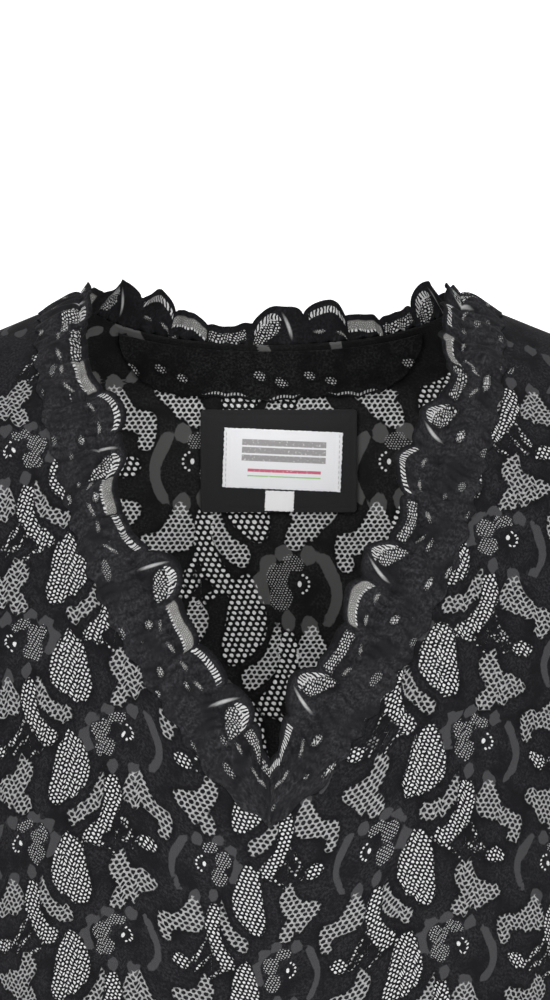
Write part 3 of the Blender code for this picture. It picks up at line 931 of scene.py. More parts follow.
def panel_half(front):
    """Heights and distances of a half's points, between its inner and its outer edge."""
    t = np.linspace(0, 1, UPPER_ROWS + 1)
    f = t * (0.5 + 0.5 * t)
    arm_z = SHOULDER_POINT[1] + f * (UNDERARM_Z - SHOULDER_POINT[1])
    arm_x = read(ARMHOLE_HEIGHT, ARMHOLE_X, arm_z)
    if front:
        inner_z = NECK_POINT[1] + f * (V_BOTTOM_Z - NECK_POINT[1])
        inner_x = np.maximum(read(NECKLINE_HEIGHT, NECKLINE_X, inner_z), 0)
    else:
        neck_x, neck_z = back_neck_edge(math.pi / 2 * np.linspace(0, 1, BACK_NECK_ROWS + 1) ** 1.35)
        down = np.linspace(BACK_NECK_Z, UNDERARM_Z, UPPER_ROWS - BACK_NECK_ROWS + 1)[1:]
        inner_x = np.concatenate([neck_x, 0 * down])
        inner_z = np.concatenate([neck_z, down])
    lower = np.arange(1, LOWER_ROWS + 1) / LOWER_ROWS
    side_z = UNDERARM_Z + lower * (HEM_Z - UNDERARM_Z)
    centre_z = inner_z[-1] + lower * (HEM_Z - inner_z[-1])
    outer_x = np.concatenate([arm_x, read(BODY_HEIGHT, BODY_HALF_WIDTH, side_z)])
    outer_z = np.concatenate([arm_z, side_z])
    inner_x = np.concatenate([inner_x, 0 * lower])
    inner_z = np.concatenate([inner_z, centre_z])
    step = np.linspace(0, 1, HALF_COLUMNS + 1)
    across = step * (1.3 - 0.3 * step**2)
    x = inner_x[:, None] + (outer_x - inner_x)[:, None] * across
    z = inner_z[:, None] + (outer_z - inner_z)[:, None] * across
    return x, z


# %% Distances over the cloth
CUT_STEP = 2.0
CUT_HALF_WIDTH = 204.0
CUT_TOP = 24.0
BACK_LEVEL_Z = -118.0


def flat_cut(x, z, front):
    """Flat place of the cloth at x and z: lengths added up over the form, across from the centre and down.

    Where the form turns away steeply, a step counts three times its plain length at most. The front is
    measured from its top, the back from one level row, so that its flowers stay in level rows there.
    """
    grid_x = np.arange(-CUT_HALF_WIDTH, CUT_HALF_WIDTH + 0.1, CUT_STEP)
    grid_z = np.arange(CUT_TOP, HEM_Z - 8, -CUT_STEP)
    y = on_form(*np.meshgrid(grid_x, grid_z), front)[..., 1]
    step_across = np.minimum(np.hypot(CUT_STEP, np.diff(y, axis=1)), 3 * CUT_STEP)
    step_down = np.minimum(np.hypot(CUT_STEP, np.diff(y, axis=0)), 3 * CUT_STEP)
    across = np.pad(np.cumsum(step_across, axis=1), ((0, 0), (1, 0)))
    across = across - across[:, [len(grid_x) // 2]]
    down = np.pad(np.cumsum(step_down, axis=0), ((1, 0), (0, 0)))
    if not front:
        down = down - down[round((CUT_TOP - BACK_LEVEL_Z) / CUT_STEP)]
    column = (x + CUT_HALF_WIDTH) / CUT_STEP
    row = (CUT_TOP - z) / CUT_STEP
    return sample(across, column, row, False), -sample(down, column, row, False)


# %% Creases, listed: from x, z to x, z, half width and lift (a trough where it is below 0)
FRONT_CREASES = [
    (-150, -60, -96, -108, 9, -1.6), (-146, -95, -104, -150, 11, 1.5), (-140, -150, -70, -196, 12, -1.8),
    (-118, -205, -52, -262, 13, 1.6), (-150, -240, -96, -330, 12, -1.7), (-60, -270, -34, -380, 11, 1.5),
    (-100, -120, -62, -168, 8, -1.2), (-20, -235, -14, -330, 13, -1.6), (24, -225, 30, -372, 12, 1.4),
    (150, -75, 104, -118, 10, -1.7), (144, -120, 92, -160, 10, 1.5), (142, -165, 84, -215, 12, -1.6),
    (112, -188, 58, -236, 9, 1.4), (146, -225, 108, -300, 13, 1.6), (84, -262, 64, -372, 12, -1.7),
    (124, -50, 96, -70, 8, 1.1), (-124, -44, -100, -66, 8, 1.2), (118, -320, 124, -388, 10, -1.3),
    (-124, -330, -130, -390, 9, 1.4), (8, -340, 0, -392, 10, 1.2),
]
BACK_CREASES = [
    (-148, -70, -88, -120, 11, -1.6), (-140, -130, -60, -178, 13, 1.4), (-132, -200, -50, -232, 12, -1.7),
    (-110, -262, -30, -300, 13, 1.6), (-146, -290, -110, -386, 10, -1.5), (-44, -330, -30, -392, 9, 1.3),
    (148, -80, 92, -132, 11, 1.5), (138, -140, 70, -196, 12, -1.8), (128, -214, 44, -256, 12, 1.6),
    (112, -270, 30, -322, 13, -1.6), (142, -300, 118, -388, 10, 1.4), (52, -336, 40, -394, 9, -1.4),
    (-8, -190, 4, -300, 15, -1.3), (-26, -40, -10, -96, 12, 0.8), (66, -44, 48, -104, 10, -0.8),
    (-92, -28, -74, -70, 9, 0.9), (10, -340, 6, -394, 9, 1.3),
]
RIPPLE_DEPTH = 0.25


def crease_lift(x, z, creases):
    """Sum of soft ridges and troughs: each falls off with the squared distance and fades at its ends."""
    lift = 0 * x
    for x0, z0, x1, z1, width, height in creases:
        along = ((x - x0) * (x1 - x0) + (z - z0) * (z1 - z0)) / ((x1 - x0) ** 2 + (z1 - z0) ** 2)
        f = np.clip(along, 0, 1)
        bend = 0.12 * width * np.sin(math.pi * along)
        gap = np.hypot(x - x0 - f * (x1 - x0) + bend, z - z0 - f * (z1 - z0))
        lift = lift + height * np.exp(-((gap / width) ** 2)) * (0.55 + 0.45 * np.sin(math.pi * f))
    ripple = np.sin(x / 9 + 2 * np.sin(z / 31)) * np.sin(z / 13 + 1.7 * np.sin(x / 27))
    return lift + RIPPLE_DEPTH * ripple


print("creases", len(FRONT_CREASES), "on the front,", len(BACK_CREASES), "on the back")


# %% Where a flower of the repeat lies on each panel, as seen from the front
FLOWER_BACK = {"x": 13.4, "z": -117, "turn": 0, "stretch": 1.0, "shift": 0}
FLOWER_RIGHT = {"x": 91.8, "z": -182, "turn": math.radians(6.5), "stretch": 1.25, "shift": 2 * REPEAT_WIDTH}
FLOWER_LEFT = {"x": -63, "z": -179, "turn": 0, "stretch": 1.3, "shift": 0}
CENTRE_BLEND = 70.0


def repeat_place(across, down, flower, front):
    """Place in the lace's repeat: the flat place, measured from one flower, turned and stretched."""
    own_across, own_down = flat_cut(np.array([flower["x"]]), np.array([flower["z"]]), front)
    a, b = across - own_across, down - own_down
    cos, sin = math.cos(flower["turn"]), math.sin(flower["turn"])
    return cos * a - sin * b + flower["shift"], (sin * a + cos * b) * flower["stretch"]


def solid_edges(x, z, across, front):
    """How far points lie inside uncut cloth, how shaded they are, and how far they are from the side."""
    side_x = np.where(
        z > UNDERARM_Z, read(ARMHOLE_HEIGHT, ARMHOLE_X, z), read(BODY_HEIGHT, BODY_HALF_WIDTH, z)
    )
    from_side = np.abs(flat_cut(side_x, z, front)[0]) - np.abs(across)
    wander = 4 * np.sin(x / 7) + 3 * np.sin(x / 3.1 + 1)
    near_shoulder = SHOULDER_SOLID + wander - (shoulder_line(x) - z)
    near_shoulder = np.where(np.abs(x) > 60, near_shoulder, FAR_OUTSIDE)
    solid = np.max([SEAM_WIDTH - from_side, HEM_WIDTH - (z - HEM_Z), near_shoulder], axis=0)
    if front:
        return solid, 0.0 * solid, from_side
    turn = np.arccos(np.clip(np.abs(x) / NECK_POINT[0], 0, 1))
    near_neck = NECK_SOLID + NECK_CORNER_SOLID * ease(np.abs(x), 44, 62) - (back_neck_edge(turn)[1] - z)
    near_neck = np.where(np.abs(x) < NECK_POINT[0], near_neck, FAR_OUTSIDE)
    return np.maximum(solid, near_neck), 0.5 * ease(near_neck + 6, 0, 12), from_side


def panel_values(x, z, front):
    """Flat place and lace values of a panel's points, with the cloth left solid along its seams and hem."""
    across, down = flat_cut(x, z, front)
    if front:
        left = repeat_place(across, down, FLOWER_LEFT, front)
        right = repeat_place(across, down, FLOWER_RIGHT, front)
        share = ease(x, -CENTRE_BLEND, CENTRE_BLEND)
        place = [(1 - share) * a + share * b for a, b in zip(left, right)]
    else:
        place = repeat_place(across, down, FLOWER_BACK, front)
    solid, shade, from_side = solid_edges(x, z, across, front)
    values = lace_at(place[0], place[1], solid)
    values["shade"] = shade
    return np.stack([across, down], axis=-1), values, from_side


def make_panel(name, front, creases, material):
    """One panel: the half's grid and its mirror image share the centre line's points."""
    half_x, half_z = panel_half(front)
    rows, columns = half_x.shape
    x = np.concatenate([half_x.ravel(), -half_x.ravel()])
    z = np.concatenate([half_z.ravel(), half_z.ravel()])
    cloth, values, from_side = panel_values(x, z, front)
    form = on_form(x, z, front)
    fade = ease(from_side, 0, CREASE_FADE) * ease(z - HEM_Z, -4, 10)
    lift = SKIN_LIFT + crease_lift(x, z, creases) * fade
    lift = lift + HEM_THICKENING * ease(HEM_WIDTH - (z - HEM_Z), 0, 1.5)
    points = form + lift[:, None] * outward(form)
    faces = grid_faces(rows, columns, flip=front)
    mirror_faces = grid_faces(rows, columns, flip=not front) + rows * columns
    on_centre = np.flatnonzero(half_x.ravel() < 1e-6)
    same = np.arange(2 * rows * columns)
    same[on_centre + rows * columns] = on_centre
    faces = same[np.concatenate([faces, mirror_faces])]
    return make_skin(name, points, faces, cloth, values, material), cloth


# %% Make the front and the back
front_skin, front_cut = make_panel("front_lace", True, FRONT_CREASES, FRONT_LACE)
back_skin, back_cut = make_panel("back_lace", False, BACK_CREASES, BACK_LACE)
print("front cut", np.ptp(front_cut, axis=0).round(), "back cut", np.ptp(back_cut, axis=0).round(), "mm")


# %% [markdown]
# ## Puff sleeves
# A short sleeve is a tube gathered into the armhole and again into an elastic end. Each line of points
# along it is a cubic Bezier curve from the armhole seam to the elastic ring: its two handles lift the
# head and swell the puff. Gathers are waves round the tube which are highest in its middle, with finer
# ones close to both seams. The lace runs round it in five whole repeats, so that it meets itself.

# %% Sleeve grid
CUFF_CENTRE = np.array([232, 0, -222])
CUFF_RADIUS = 44
CUFF_TILT = math.radians(35)
SLEEVE_AROUND = 232
SLEEVE_RINGS = 84
SLEEVE_GATHERS = 15
GATHER_DEPTH = 2.2
SLEEVE_REPEATS = 5
CASING = 8.0


def sleeve_grid(phase):
    """Points of the right sleeve, ring by ring, and how far along and around it they lie."""
    turn = math.pi + 2 * math.pi * np.arange(SLEEVE_AROUND) / SLEEVE_AROUND
    z = SHOULDER_POINT[1] + (UNDERARM_Z - SHOULDER_POINT[1]) * (1 - np.cos(turn)) / 2
    loop = on_form(read(ARMHOLE_HEIGHT, ARMHOLE_X, z), z, np.sin(turn) > 0)
    share = 0.25 + 0.75 * (0.5 + 0.5 * np.cos(turn))[:, None]
    axis = np.array([math.sin(CUFF_TILT), 0, -math.cos(CUFF_TILT)])
    up = np.array([math.cos(CUFF_TILT), 0, math.sin(CUFF_TILT)])
    ahead = np.sin(turn)[:, None] * np.array([0, -1, 0])
    around_cuff = np.cos(turn)[:, None] * up + ahead
    around_arm = np.cos(turn)[:, None] * np.array([0, 0, 1]) + ahead
    leave = (10 + 45 * share) * np.array([1, 0, 0]) + 24 * share * around_arm
    arrive = -62 * share * axis + 45 * share**2 * around_cuff
    start = loop + 1.2 * outward(loop) + 0.42 * unit(leave)
    end = CUFF_CENTRE + CUFF_RADIUS * around_cuff
    f = np.linspace(0, 1, SLEEVE_RINGS + 1)[:, None, None]
    rings = (1 - f) ** 3 * start + 3 * f * (1 - f) ** 2 * (start + leave)
    rings = rings + 3 * f**2 * (1 - f) * (end + arrive) + f**3 * end
    length = np.pad(np.cumsum(np.linalg.norm(np.diff(rings, axis=0), axis=-1), axis=0), ((1, 0), (0, 0)))
    left = length[-1] - length
    wave = np.cos(SLEEVE_GATHERS * turn) * (0.7 + 0.3 * np.sin(3 * turn + 1))
    swell = np.sin(math.pi * f[..., 0]) ** 0.7 * GATHER_DEPTH * wave
    fine = np.cos(43 * turn + phase + 2 * np.sin(3 * turn))
    swell = swell + 0.6 * fine * np.exp(-length / 16) * ease(length, 0, 4)
    swell = swell + 1.3 * np.cos(47 * turn + 2 * phase + np.sin(5 * turn)) * np.exp(-left / 15)
    swell = swell - 2.2 * np.exp(-(((left - CASING) / 2.0) ** 2)) + 0.8 * np.exp(-((left / 3.0) ** 2))
    way = (1 - f) * around_arm + f * around_cuff
    return rings + (swell[..., None] - 0.1) * way, length, left


def make_sleeve(name, side, phase):
    """A sleeve on the right (side 1) or its mirror image on the left (side -1)."""
    points, length, left = sleeve_grid(phase)
    rows, columns = length.shape
    around = SLEEVE_REPEATS * REPEAT_WIDTH * np.arange(columns + 1) / columns
    wide = np.concatenate([length, length[:, :1]], axis=1)
    place = np.stack(np.broadcast_arrays(around, -wide), axis=-1).reshape(-1, 2)
    flip = side < 0
    corners = place[grid_faces(rows, columns + 1, flip=flip)]
    solid = np.maximum(SEAM_WIDTH - length, CASING + 1 - left)
    values = lace_at(np.broadcast_to(around[:-1], length.shape) + 20 * side, -length, solid)
    flat = {label: value.reshape(rows * columns, *value.shape[2:]) for label, value in values.items()}
    faces = grid_faces(rows, columns, closed=True, flip=flip)
    points = (points * np.array([side, 1, 1])).reshape(-1, 3)
    return make_skin(name, points, faces, corners, flat, SLEEVE_LACE), length.max()


sleeve_right, sleeve_length = make_sleeve("sleeve_right_lace", 1, 0.0)
sleeve_left, _ = make_sleeve("sleeve_left_lace", -1, 1.3)
print("sleeve", round(float(sleeve_length)), "mm long at its head")


# %% [markdown]
# ## The neck ruffle
# One strip of edging lace is gathered onto the neck seam, from the V's bottom up the left front, round
# the back and down the right front. Its scalloped edge stands into the opening, its other half lies on
# the blouse. The strip is a grid across the seam's path. A table gives each scallop its place, how far
# it stands in, how high the cloth beside it puffs, and which motif it carries: a fan of net beside a
# slit, an arch cut in bars, a sheer grey lobe, or a strip of net.

# %% Scallops of the ruffle: place along each length, reach, lift, motif
FAN, ARCH, LOBE, STRIP = range(4)
LEFT_SCALLOPS = [
    (0, 10, 1.5, STRIP), (15, 11, 3, STRIP), (35, 14, 3, FAN), (57, 12, 4, ARCH), (78, 11, 3, LOBE),
    (104, 19, 4, FAN), (130, 5, 3, ARCH), (150, 4, 4, LOBE), (166, 13, 3, FAN), (187, 18, 4, ARCH),
    (210, 6, 3, LOBE), (230, 5, 4, STRIP), (254, 8, 3, FAN), (280, 6, 2, ARCH),
]
RIGHT_SCALLOPS = [
    (0, 10, 1.5, ARCH), (15, 10, 3, ARCH), (41, 20, 4, FAN), (64, 13, 3, STRIP), (88, 20, 4, LOBE),
    (109, 21, 3, FAN), (133, 11, 4, STRIP), (157, 22, 3, ARCH), (182, 16, 4, FAN), (208, 5, 3, STRIP),
    (223, 14, 4, LOBE), (244, 14, 3, ARCH), (262, 11, 4, FAN), (280, 4, 2, STRIP),
]
BACK_SCALLOPS = [
    (14, 6, 3, LOBE), (48, 19, 4, FAN), (75, 20, 3, ARCH), (92, 12, 4, LOBE), (110, 7, 3, STRIP),
    (134, 18, 3, FAN), (159, 19, 4, ARCH), (176, 10, 3, LOBE), (193, 8, 4, STRIP), (217, 17, 4, FAN),
    (244, 5, 3, ARCH),
]
BACK_TABLE_LENGTH = 261
RUFFLE_STEP = 0.9
RUFFLE_OUTER_WIDTH = 21.0
RUFFLE_LIFT = 2.7
INNER_ROWS = 20
OUTER_ROWS = 22
V_CORNER = 30.0
MEETING_SLOPE = 0.15
FRONT_STAND = (18, 24, 40)
BACK_STAND = 40


def seam_path():
    """Neck seam as even points, with the distance along it and the lengths of a front and of the back."""
    z = NECK_POINT[1] + (V_BOTTOM_Z - NECK_POINT[1]) * np.linspace(1, 0, 400) ** 2
    rising = on_form(read(NECKLINE_HEIGHT, NECKLINE_X, z), z, True)
    rising[:, 0] = np.maximum(rising[:, 0], 0.02)
    x, z = back_neck_edge(math.pi / 2 * np.linspace(0, 1, 400) ** 2)
    behind = on_form(x, z, False)[1:]
    flip = np.array([-1, 1, 1])
    lengths = [np.linalg.norm(np.diff(part, axis=0), axis=1).sum() for part in (rising, behind)]
    path = np.concatenate([rising * flip, behind * flip, behind[-2::-1], rising[::-1]])
    steps = np.linalg.norm(np.diff(path, axis=0), axis=1)
    distance = np.concatenate([[0], np.cumsum(steps)])
    at = np.linspace(0, distance[-1], round(distance[-1] / RUFFLE_STEP) + 1)
    even = np.stack([np.interp(at, distance, path[:, i]) for i in range(3)], axis=1)
    return even, at, lengths[0], 2 * lengths[1]


def soften(vectors, reach):
    """Running mean of directions over a number of neighbours, back at length one."""
    padded = np.pad(vectors, ((reach, reach), (0, 0)), mode="edge")
    window = np.ones(2 * reach + 1) / (2 * reach + 1)
    return unit(np.stack([np.convolve(padded[:, i], window, mode="valid") for i in range(3)], axis=1))


SEAM, SEAM_AT, FRONT_LENGTH, BACK_LENGTH = seam_path()
print("neck seam", round(SEAM_AT[-1]), "mm, front", round(FRONT_LENGTH), "back", round(BACK_LENGTH))


# %% Directions and scallops along the seam
def scallop_table():
    """All scallops in one table, with their places counted along the whole seam."""
    left = np.array(LEFT_SCALLOPS, dtype=float)
    back = np.array(BACK_SCALLOPS, dtype=float)
    right = np.array(RIGHT_SCALLOPS, dtype=float)[::-1]
    left[:, 0] *= FRONT_LENGTH / left[-1, 0]
    back[:, 0] = back[:, 0] * BACK_LENGTH / BACK_TABLE_LENGTH + FRONT_LENGTH
    right[:, 0] = SEAM_AT[-1] - right[:, 0] * FRONT_LENGTH / right[0, 0]
    return np.concatenate([left, back, right])


def ruffle_frames():
    """Directions away from the opening and out of the body along the seam, softened over the shoulders."""
    out = soften(outward(SEAM), 8)
    tangent = unit(np.gradient(SEAM, axis=0))
    away = soften(-np.cross(tangent, out), 8)
    from_end = np.minimum(SEAM_AT, SEAM_AT[-1] - SEAM_AT)
    corner = (1 - ease(from_end, 0, V_CORNER))[:, None]
    away = away * (1 - corner) + np.array([0, 0, -1]) * corner
    return unit(away - np.sum(away * out, axis=1, keepdims=True) * out), out


def scallop_shape(table):
    """Along the seam: the scallops' phase, whole at a crest, and their reach, lift and angle off the cloth.

    A crest stands out more than the cloth between two.
    """
    count = np.arange(len(table))
    phase = np.interp(SEAM_AT, table[:, 0], count)
    crest = 0.5 + 0.5 * np.cos(2 * math.pi * phase)
    arc = np.abs(np.cos(math.pi * phase)) ** 0.45
    rounded = np.floor(phase) + ease(phase % 1, 0, 1)
    reach = np.interp(rounded, count, table[:, 1]) * (0.66 + 0.34 * arc)
    lift = np.interp(rounded, count, table[:, 2]) * (0.4 + 0.6 * crest)
    to_middle = [FRONT_LENGTH / 2, FRONT_LENGTH / 2, BACK_LENGTH / 2]
    stops = np.cumsum([0, *to_middle, *to_middle[::-1]])
    stand = np.radians([*FRONT_STAND, BACK_STAND, *FRONT_STAND[::-1]])
    angle = np.interp(SEAM_AT, stops, stand) * (0.55 + 0.45 * crest)
    return phase, reach, lift, angle


SCALLOPS = scallop_table()
PHASE, REACH, LIFT, ANGLE = scallop_shape(SCALLOPS)
print("scallops", len(SCALLOPS), "reach from", round(REACH.min()), "to", round(REACH.max()), "mm")


# %% [markdown]
# The inner rows stand off the blouse at an angle and curl from one scallop to the next. The outer rows
# follow the blouse and puff up beside each scallop. Both carry short waves, the gathers, which are
# highest at the seam and settle at the V's bottom, where the ends have to meet.

# %% Ruffle grid
GATHER_PITCH = 7.4
OUTER_EDGE_PITCH = 13.0
OUTER_WAVE_PITCH = 11.5
SETTLE_LENGTH = 8
RUFFLE_THICKNESS = 0.5
from_end = np.minimum(SEAM_AT, SEAM_AT[-1] - SEAM_AT)
settle = ease(from_end, 0, SETTLE_LENGTH)
uneven = 1.6 * np.sin(SEAM_AT / 19) + 0.8 * np.sin(SEAM_AT / 5.3)
gathers = np.cos(2 * math.pi * SEAM_AT / GATHER_PITCH + uneven) * settle


def inner_rows(away, out):
    """Rows from the scalloped edge to the seam: the reach, turned off the cloth by a curling angle."""
    f = np.linspace(1, 0, INNER_ROWS + 1)[:-1, None]
    curl = ANGLE + 0.12 * f * np.sin(2 * math.pi * PHASE)
    rise_way = np.cos(curl)[..., None] * -away + np.sin(curl)[..., None] * out
    height = RUFFLE_LIFT + gathers * np.exp(-f * REACH / 8)
    return SEAM + height[..., None] * out + (f * REACH)[..., None] * rise_way, -f * REACH


def outer_rows(away):
    """Rows from the seam to the outer edge: the blouse's form, raised by the puff and the gathers."""
    f = np.linspace(0, 1, OUTER_ROWS + 1)[:, None]
    edge_wave = np.cos(2 * math.pi * SEAM_AT / OUTER_EDGE_PITCH + 2 * np.sin(SEAM_AT / 21)) * settle
    width = RUFFLE_OUTER_WIDTH - 1.2 + 1.2 * edge_wave
    on_cloth = onto_form(SEAM + (f * width)[..., None] * away)
    wave = 1.1 * gathers * np.exp(-f * RUFFLE_OUTER_WIDTH / 14) - 0.45 * np.exp(-((f * 16) ** 2))
    slanting = np.cos(2 * math.pi * SEAM_AT / OUTER_WAVE_PITCH + 4 * f + np.sin(SEAM_AT / 9))
    wave = wave + 1.6 * slanting * f * (1 - f) * settle
    height = RUFFLE_LIFT * (1 - 0.3 * f) + LIFT * np.sin(math.pi * f**0.7) + wave
    return on_cloth + height[..., None] * outward(on_cloth), f * width


def ruffle_grid():
    """Rows of points from the scalloped edge over the seam to the outer edge, and how far each is from it.

    At the V's bottom both ends stay on their own side, so that they meet.
    """
    away, out = ruffle_frames()
    inner, inner_distance = inner_rows(away, out)
    outer, outer_distance = outer_rows(away)
    points = np.concatenate([inner, outer])
    side = np.where(SEAM_AT < SEAM_AT[-1] / 2, -1, 1)
    own_side = np.where(from_end < V_CORNER, MEETING_SLOPE * from_end, -BODY_HALF_WIDTH[0])
    points[..., 0] = side * np.maximum(side * points[..., 0], own_side)
    return points, np.concatenate([inner_distance, outer_distance])


RUFFLE_POINTS, FROM_SEAM = ruffle_grid()
print("ruffle grid", FROM_SEAM.shape, "at most", round(FROM_SEAM.max()), "mm from the seam")


# %% [markdown]
# The ruffle's lace has no repeat: each scallop gets its own motif, and small spots of net are strewn over
# the rest. All of them are inside distances, worked out for every point at once.

# %% Motifs of the ruffle lace
SPOT_PITCH = 19.0
SPOT_ROW_HEIGHT = 6.0
CRINKLE_SHADE_PITCH = 4.3
NO_FLOWER = 60.0


def lens(x, y, half_length, half_width):
    """Inside distance of an upright oval, roughly: one less the scaled radius, times the smaller half."""
    radius = np.sqrt((x / half_length) ** 2 + (y / half_width) ** 2)
    return (1 - radius) * min(half_length, half_width)


def between(depth, low, high):
    """Inside distance of a strip between two depths."""
    return np.minimum(depth - low, high - depth)


def scallop_motifs(at, depth):
    """Inside distances of each scallop's motif: net, bars, a sheer lobe, petals and slits."""
    places = SCALLOPS[:, 0]
    nearest = np.abs(at[..., None] - places).argmin(axis=-1)
    x = at - places[nearest]
    motif = SCALLOPS[nearest, 3]
    inside = np.interp(at, places, np.gradient(places) / 2) - 1.2 - np.abs(x)
    aside = np.where(motif == FAN, 5.0, 0.0)
    fan = lens(x + aside, depth - 10.2, 6.6, 5.0)
    fan_bars = np.minimum(lens(x + aside, depth - 9.0, 7.2, 6.2), 7.2 - depth)
    arch = np.minimum(between(depth, 2.8, 6.0), inside)
    lobe = np.minimum(between(depth, 2.8, 7.4), inside + 1)
    lobe_bars = np.minimum(between(depth, 6.8, 8.2), inside)
    strip = np.minimum(between(depth, 3.2, 8.4), inside)
    slit_y = depth - 9.5
    slit_x = x - aside + 0.02 * slit_y**2
    slit = lens(0.94 * slit_x - 0.34 * slit_y, 0.94 * slit_y + 0.34 * slit_x, 1.0, 6.6)
    petals = lens(np.abs(x) - 5.6, depth - 15.0 + 0.3 * np.abs(x), 3.2, 1.1)
    bars = np.select([motif == FAN, motif == ARCH, motif == LOBE], [fan_bars, arch, lobe_bars], FAR_OUTSIDE)
    return {
        "net": np.select([motif == FAN, motif == STRIP], [fan, strip], FAR_OUTSIDE),
        "bars": np.maximum(bars, FAR_OUTSIDE),
        "lobe": np.where(motif == LOBE, lobe, FAR_OUTSIDE),
        "petals": np.where((motif == FAN) | (depth < 11), FAR_OUTSIDE, petals),
        "slits": np.where(motif == FAN, slit, FAR_OUTSIDE),
    }


def ruffle_spots(at):
    """Inside distance of small spots of net in slanting rows of uneven size, and where they are bright."""
    row = np.round(FROM_SEAM / SPOT_ROW_HEIGHT)
    along = (at + 7.3 * row + 5 * np.sin(at / 13)) / SPOT_PITCH
    number = np.round(along)
    x, y = (along - number) * SPOT_PITCH, FROM_SEAM - SPOT_ROW_HEIGHT * row
    size = 0.7 + 1.3 * np.sin(number * 2.4 + row * 1.9)
    spots = lens(x + 0.4 * y, y, 2.8, 1.6) - 1.6 + size
    spots = np.where((FROM_SEAM > 2) & (FROM_SEAM < 19), spots, FAR_OUTSIDE)
    return spots, np.sin(number * 3.7 + row * 2.3) > 0.1


def ruffle_shade_and_cord(at, depth):
    """Painted shade behind the neck and in fine crinkles, and the real dark cord of the scalloped edge: the
    darkest of the three.
    """
    # painted shade: the ruffle's part behind the neck is darker, as it is lit less
    behind = ease(np.minimum(at, SEAM_AT[-1] - at), FRONT_LENGTH - 20, FRONT_LENGTH + 12)
    cord_edge = 1 - ease(depth, 0.9, 2.6)
    # painted shade in fine crinkles: dark stripes where the gathers fold
    bent = 2.5 * np.sin(FROM_SEAM / 3.4 + at / 17) + 1.5 * np.sin(at / 6.1)
    crinkle_shade = np.sin(2 * math.pi * at / CRINKLE_SHADE_PITCH + bent)
    crinkle_shade = ease(crinkle_shade * (0.6 + 0.4 * np.sin(FROM_SEAM / 2.1 + at / 5.7)), -0.2, 0.9)
    return np.max([0.55 * behind, 0.7 * cord_edge, 0.5 * crinkle_shade], axis=0)


def ruffle_values():
    """Lace values of the ruffle, from each point's scallop and its depth below the scalloped edge."""
    at = np.broadcast_to(SEAM_AT, FROM_SEAM.shape)
    depth = FROM_SEAM + REACH
    motifs = scallop_motifs(at, depth)
    spots, bright = ruffle_spots(at)
    return {
        "dense_net": np.maximum(motifs["net"], np.where(bright, spots - 0.3, FAR_OUTSIDE)),
        "open_net": np.full(at.shape, FAR_OUTSIDE),
        "fine_net": np.max([spots, motifs["lobe"] - 0.4, motifs["petals"]], axis=0),
        "grey": np.maximum(motifs["lobe"], motifs["petals"] - 0.5),
        "bars": motifs["bars"],
        "slits": motifs["slits"],
        "shade": ruffle_shade_and_cord(at, depth),
        "from_flower": np.full((*at.shape, 3), NO_FLOWER),
    }


def make_ruffle():
    """The ruffle as one strip."""
    rows, columns = FROM_SEAM.shape
    flat = {
        label: value.reshape(rows * columns, *value.shape[2:]) for label, value in ruffle_values().items()
    }
    cloth = np.stack([np.broadcast_to(SEAM_AT, FROM_SEAM.shape), -FROM_SEAM], axis=-1).reshape(-1, 2)
    points, faces = RUFFLE_POINTS.reshape(-1, 3), grid_faces(rows, columns)
    return make_skin("neck_ruffle", points, faces, cloth, flat, RUFFLE_LACE, RUFFLE_THICKNESS)


neck_ruffle = make_ruffle()


# %% [markdown]
# ## Inside the back neck
# A dark lace band covers the neck seam. Below it a black woven patch with rounded corners is stitched
# to the lace, and carries a white woven label and a small tab. All of them are grids on the inner side
# of the back, each a little further in than what it lies on. The label shows plain woven stripes.

# %% Band inside the back neck
BAND = {"half": 70.0, "width": 24.0, "below": 2.0, "clearance": 0.95}
BAND_TAPER_FROM = 48
BAND_SCALLOP = 41
BAND_SPOT_PITCH = 23


def inside_back(x, z, clearance):
    """Points on the inner side of the back, moved inward by the clearance."""
    form = on_form(x, z, False)
    return form - np.asarray(clearance)[..., None] * outward(form)


def plain_values(count):
    """Lace values of a trim without net."""
    names = ("dense_net", "open_net", "fine_net", "grey", "bars", "slits")
    values = {name: np.full(count, FAR_OUTSIDE) for name in names}
    values["shade"] = np.zeros(count)
    values["from_flower"] = np.full((count, 3), NO_FLOWER)
    return values


def make_band():
    """Band under the back neck seam, with a scalloped lower edge and a row of small holes above it."""
    x = np.linspace(-BAND["half"], BAND["half"], 281)
    top = back_neck_edge(np.arccos(np.abs(x) / NECK_POINT[0]))[1] - BAND["below"]
    down = np.linspace(0, 1, 41)[:, None]
    scallop = 1.5 * np.abs(np.sin(x * math.pi / BAND_SCALLOP))
    scallop = scallop + 1.0 * np.abs(np.sin(x * math.pi / (BAND_SCALLOP / 4)))
    past = np.clip((np.abs(x) - BAND_TAPER_FROM) / (BAND["half"] - BAND_TAPER_FROM), 0, 1)
    width = (BAND["width"] - scallop) * np.sqrt(1 - 0.97 * past**2)
    depth = down * width
    z = top - depth
    across = np.broadcast_to(x, z.shape)
    fold = 0.25 * np.sin(across / 3.1 + 2 * np.sin(across / 11)) * down
    points = inside_back(across, z, BAND["clearance"] + 0.5 + fold)
    values = plain_values(z.size)
    number = np.round(across / BAND_SPOT_PITCH)
    spot_x = across - BAND_SPOT_PITCH * number
    spots = lens(np.abs(spot_x) - 5, depth - 13 - 0.3 * spot_x, 3.4, 2.4)
    shown = 0.35 + 0.75 * np.sin(across / 5.5 + 1.2 * np.sin(across / 13))
    row = np.minimum(shown, 0.7) - np.abs(depth - (width - 1.6)) - 2 * ease(np.abs(across), 46, 56)
    values["bars"] = row.ravel()
    values["dense_net"] = (spots + 1.4 * np.sin(number * 2.1 + 0.6) - 0.9).ravel()
    cloth = np.stack([across, z], axis=-1).reshape(-1, 2)
    faces = grid_faces(*z.shape)
    return make_skin("neck_band_lace", points.reshape(-1, 3), faces, cloth, values, BAND_LACE)


neck_band = make_band()


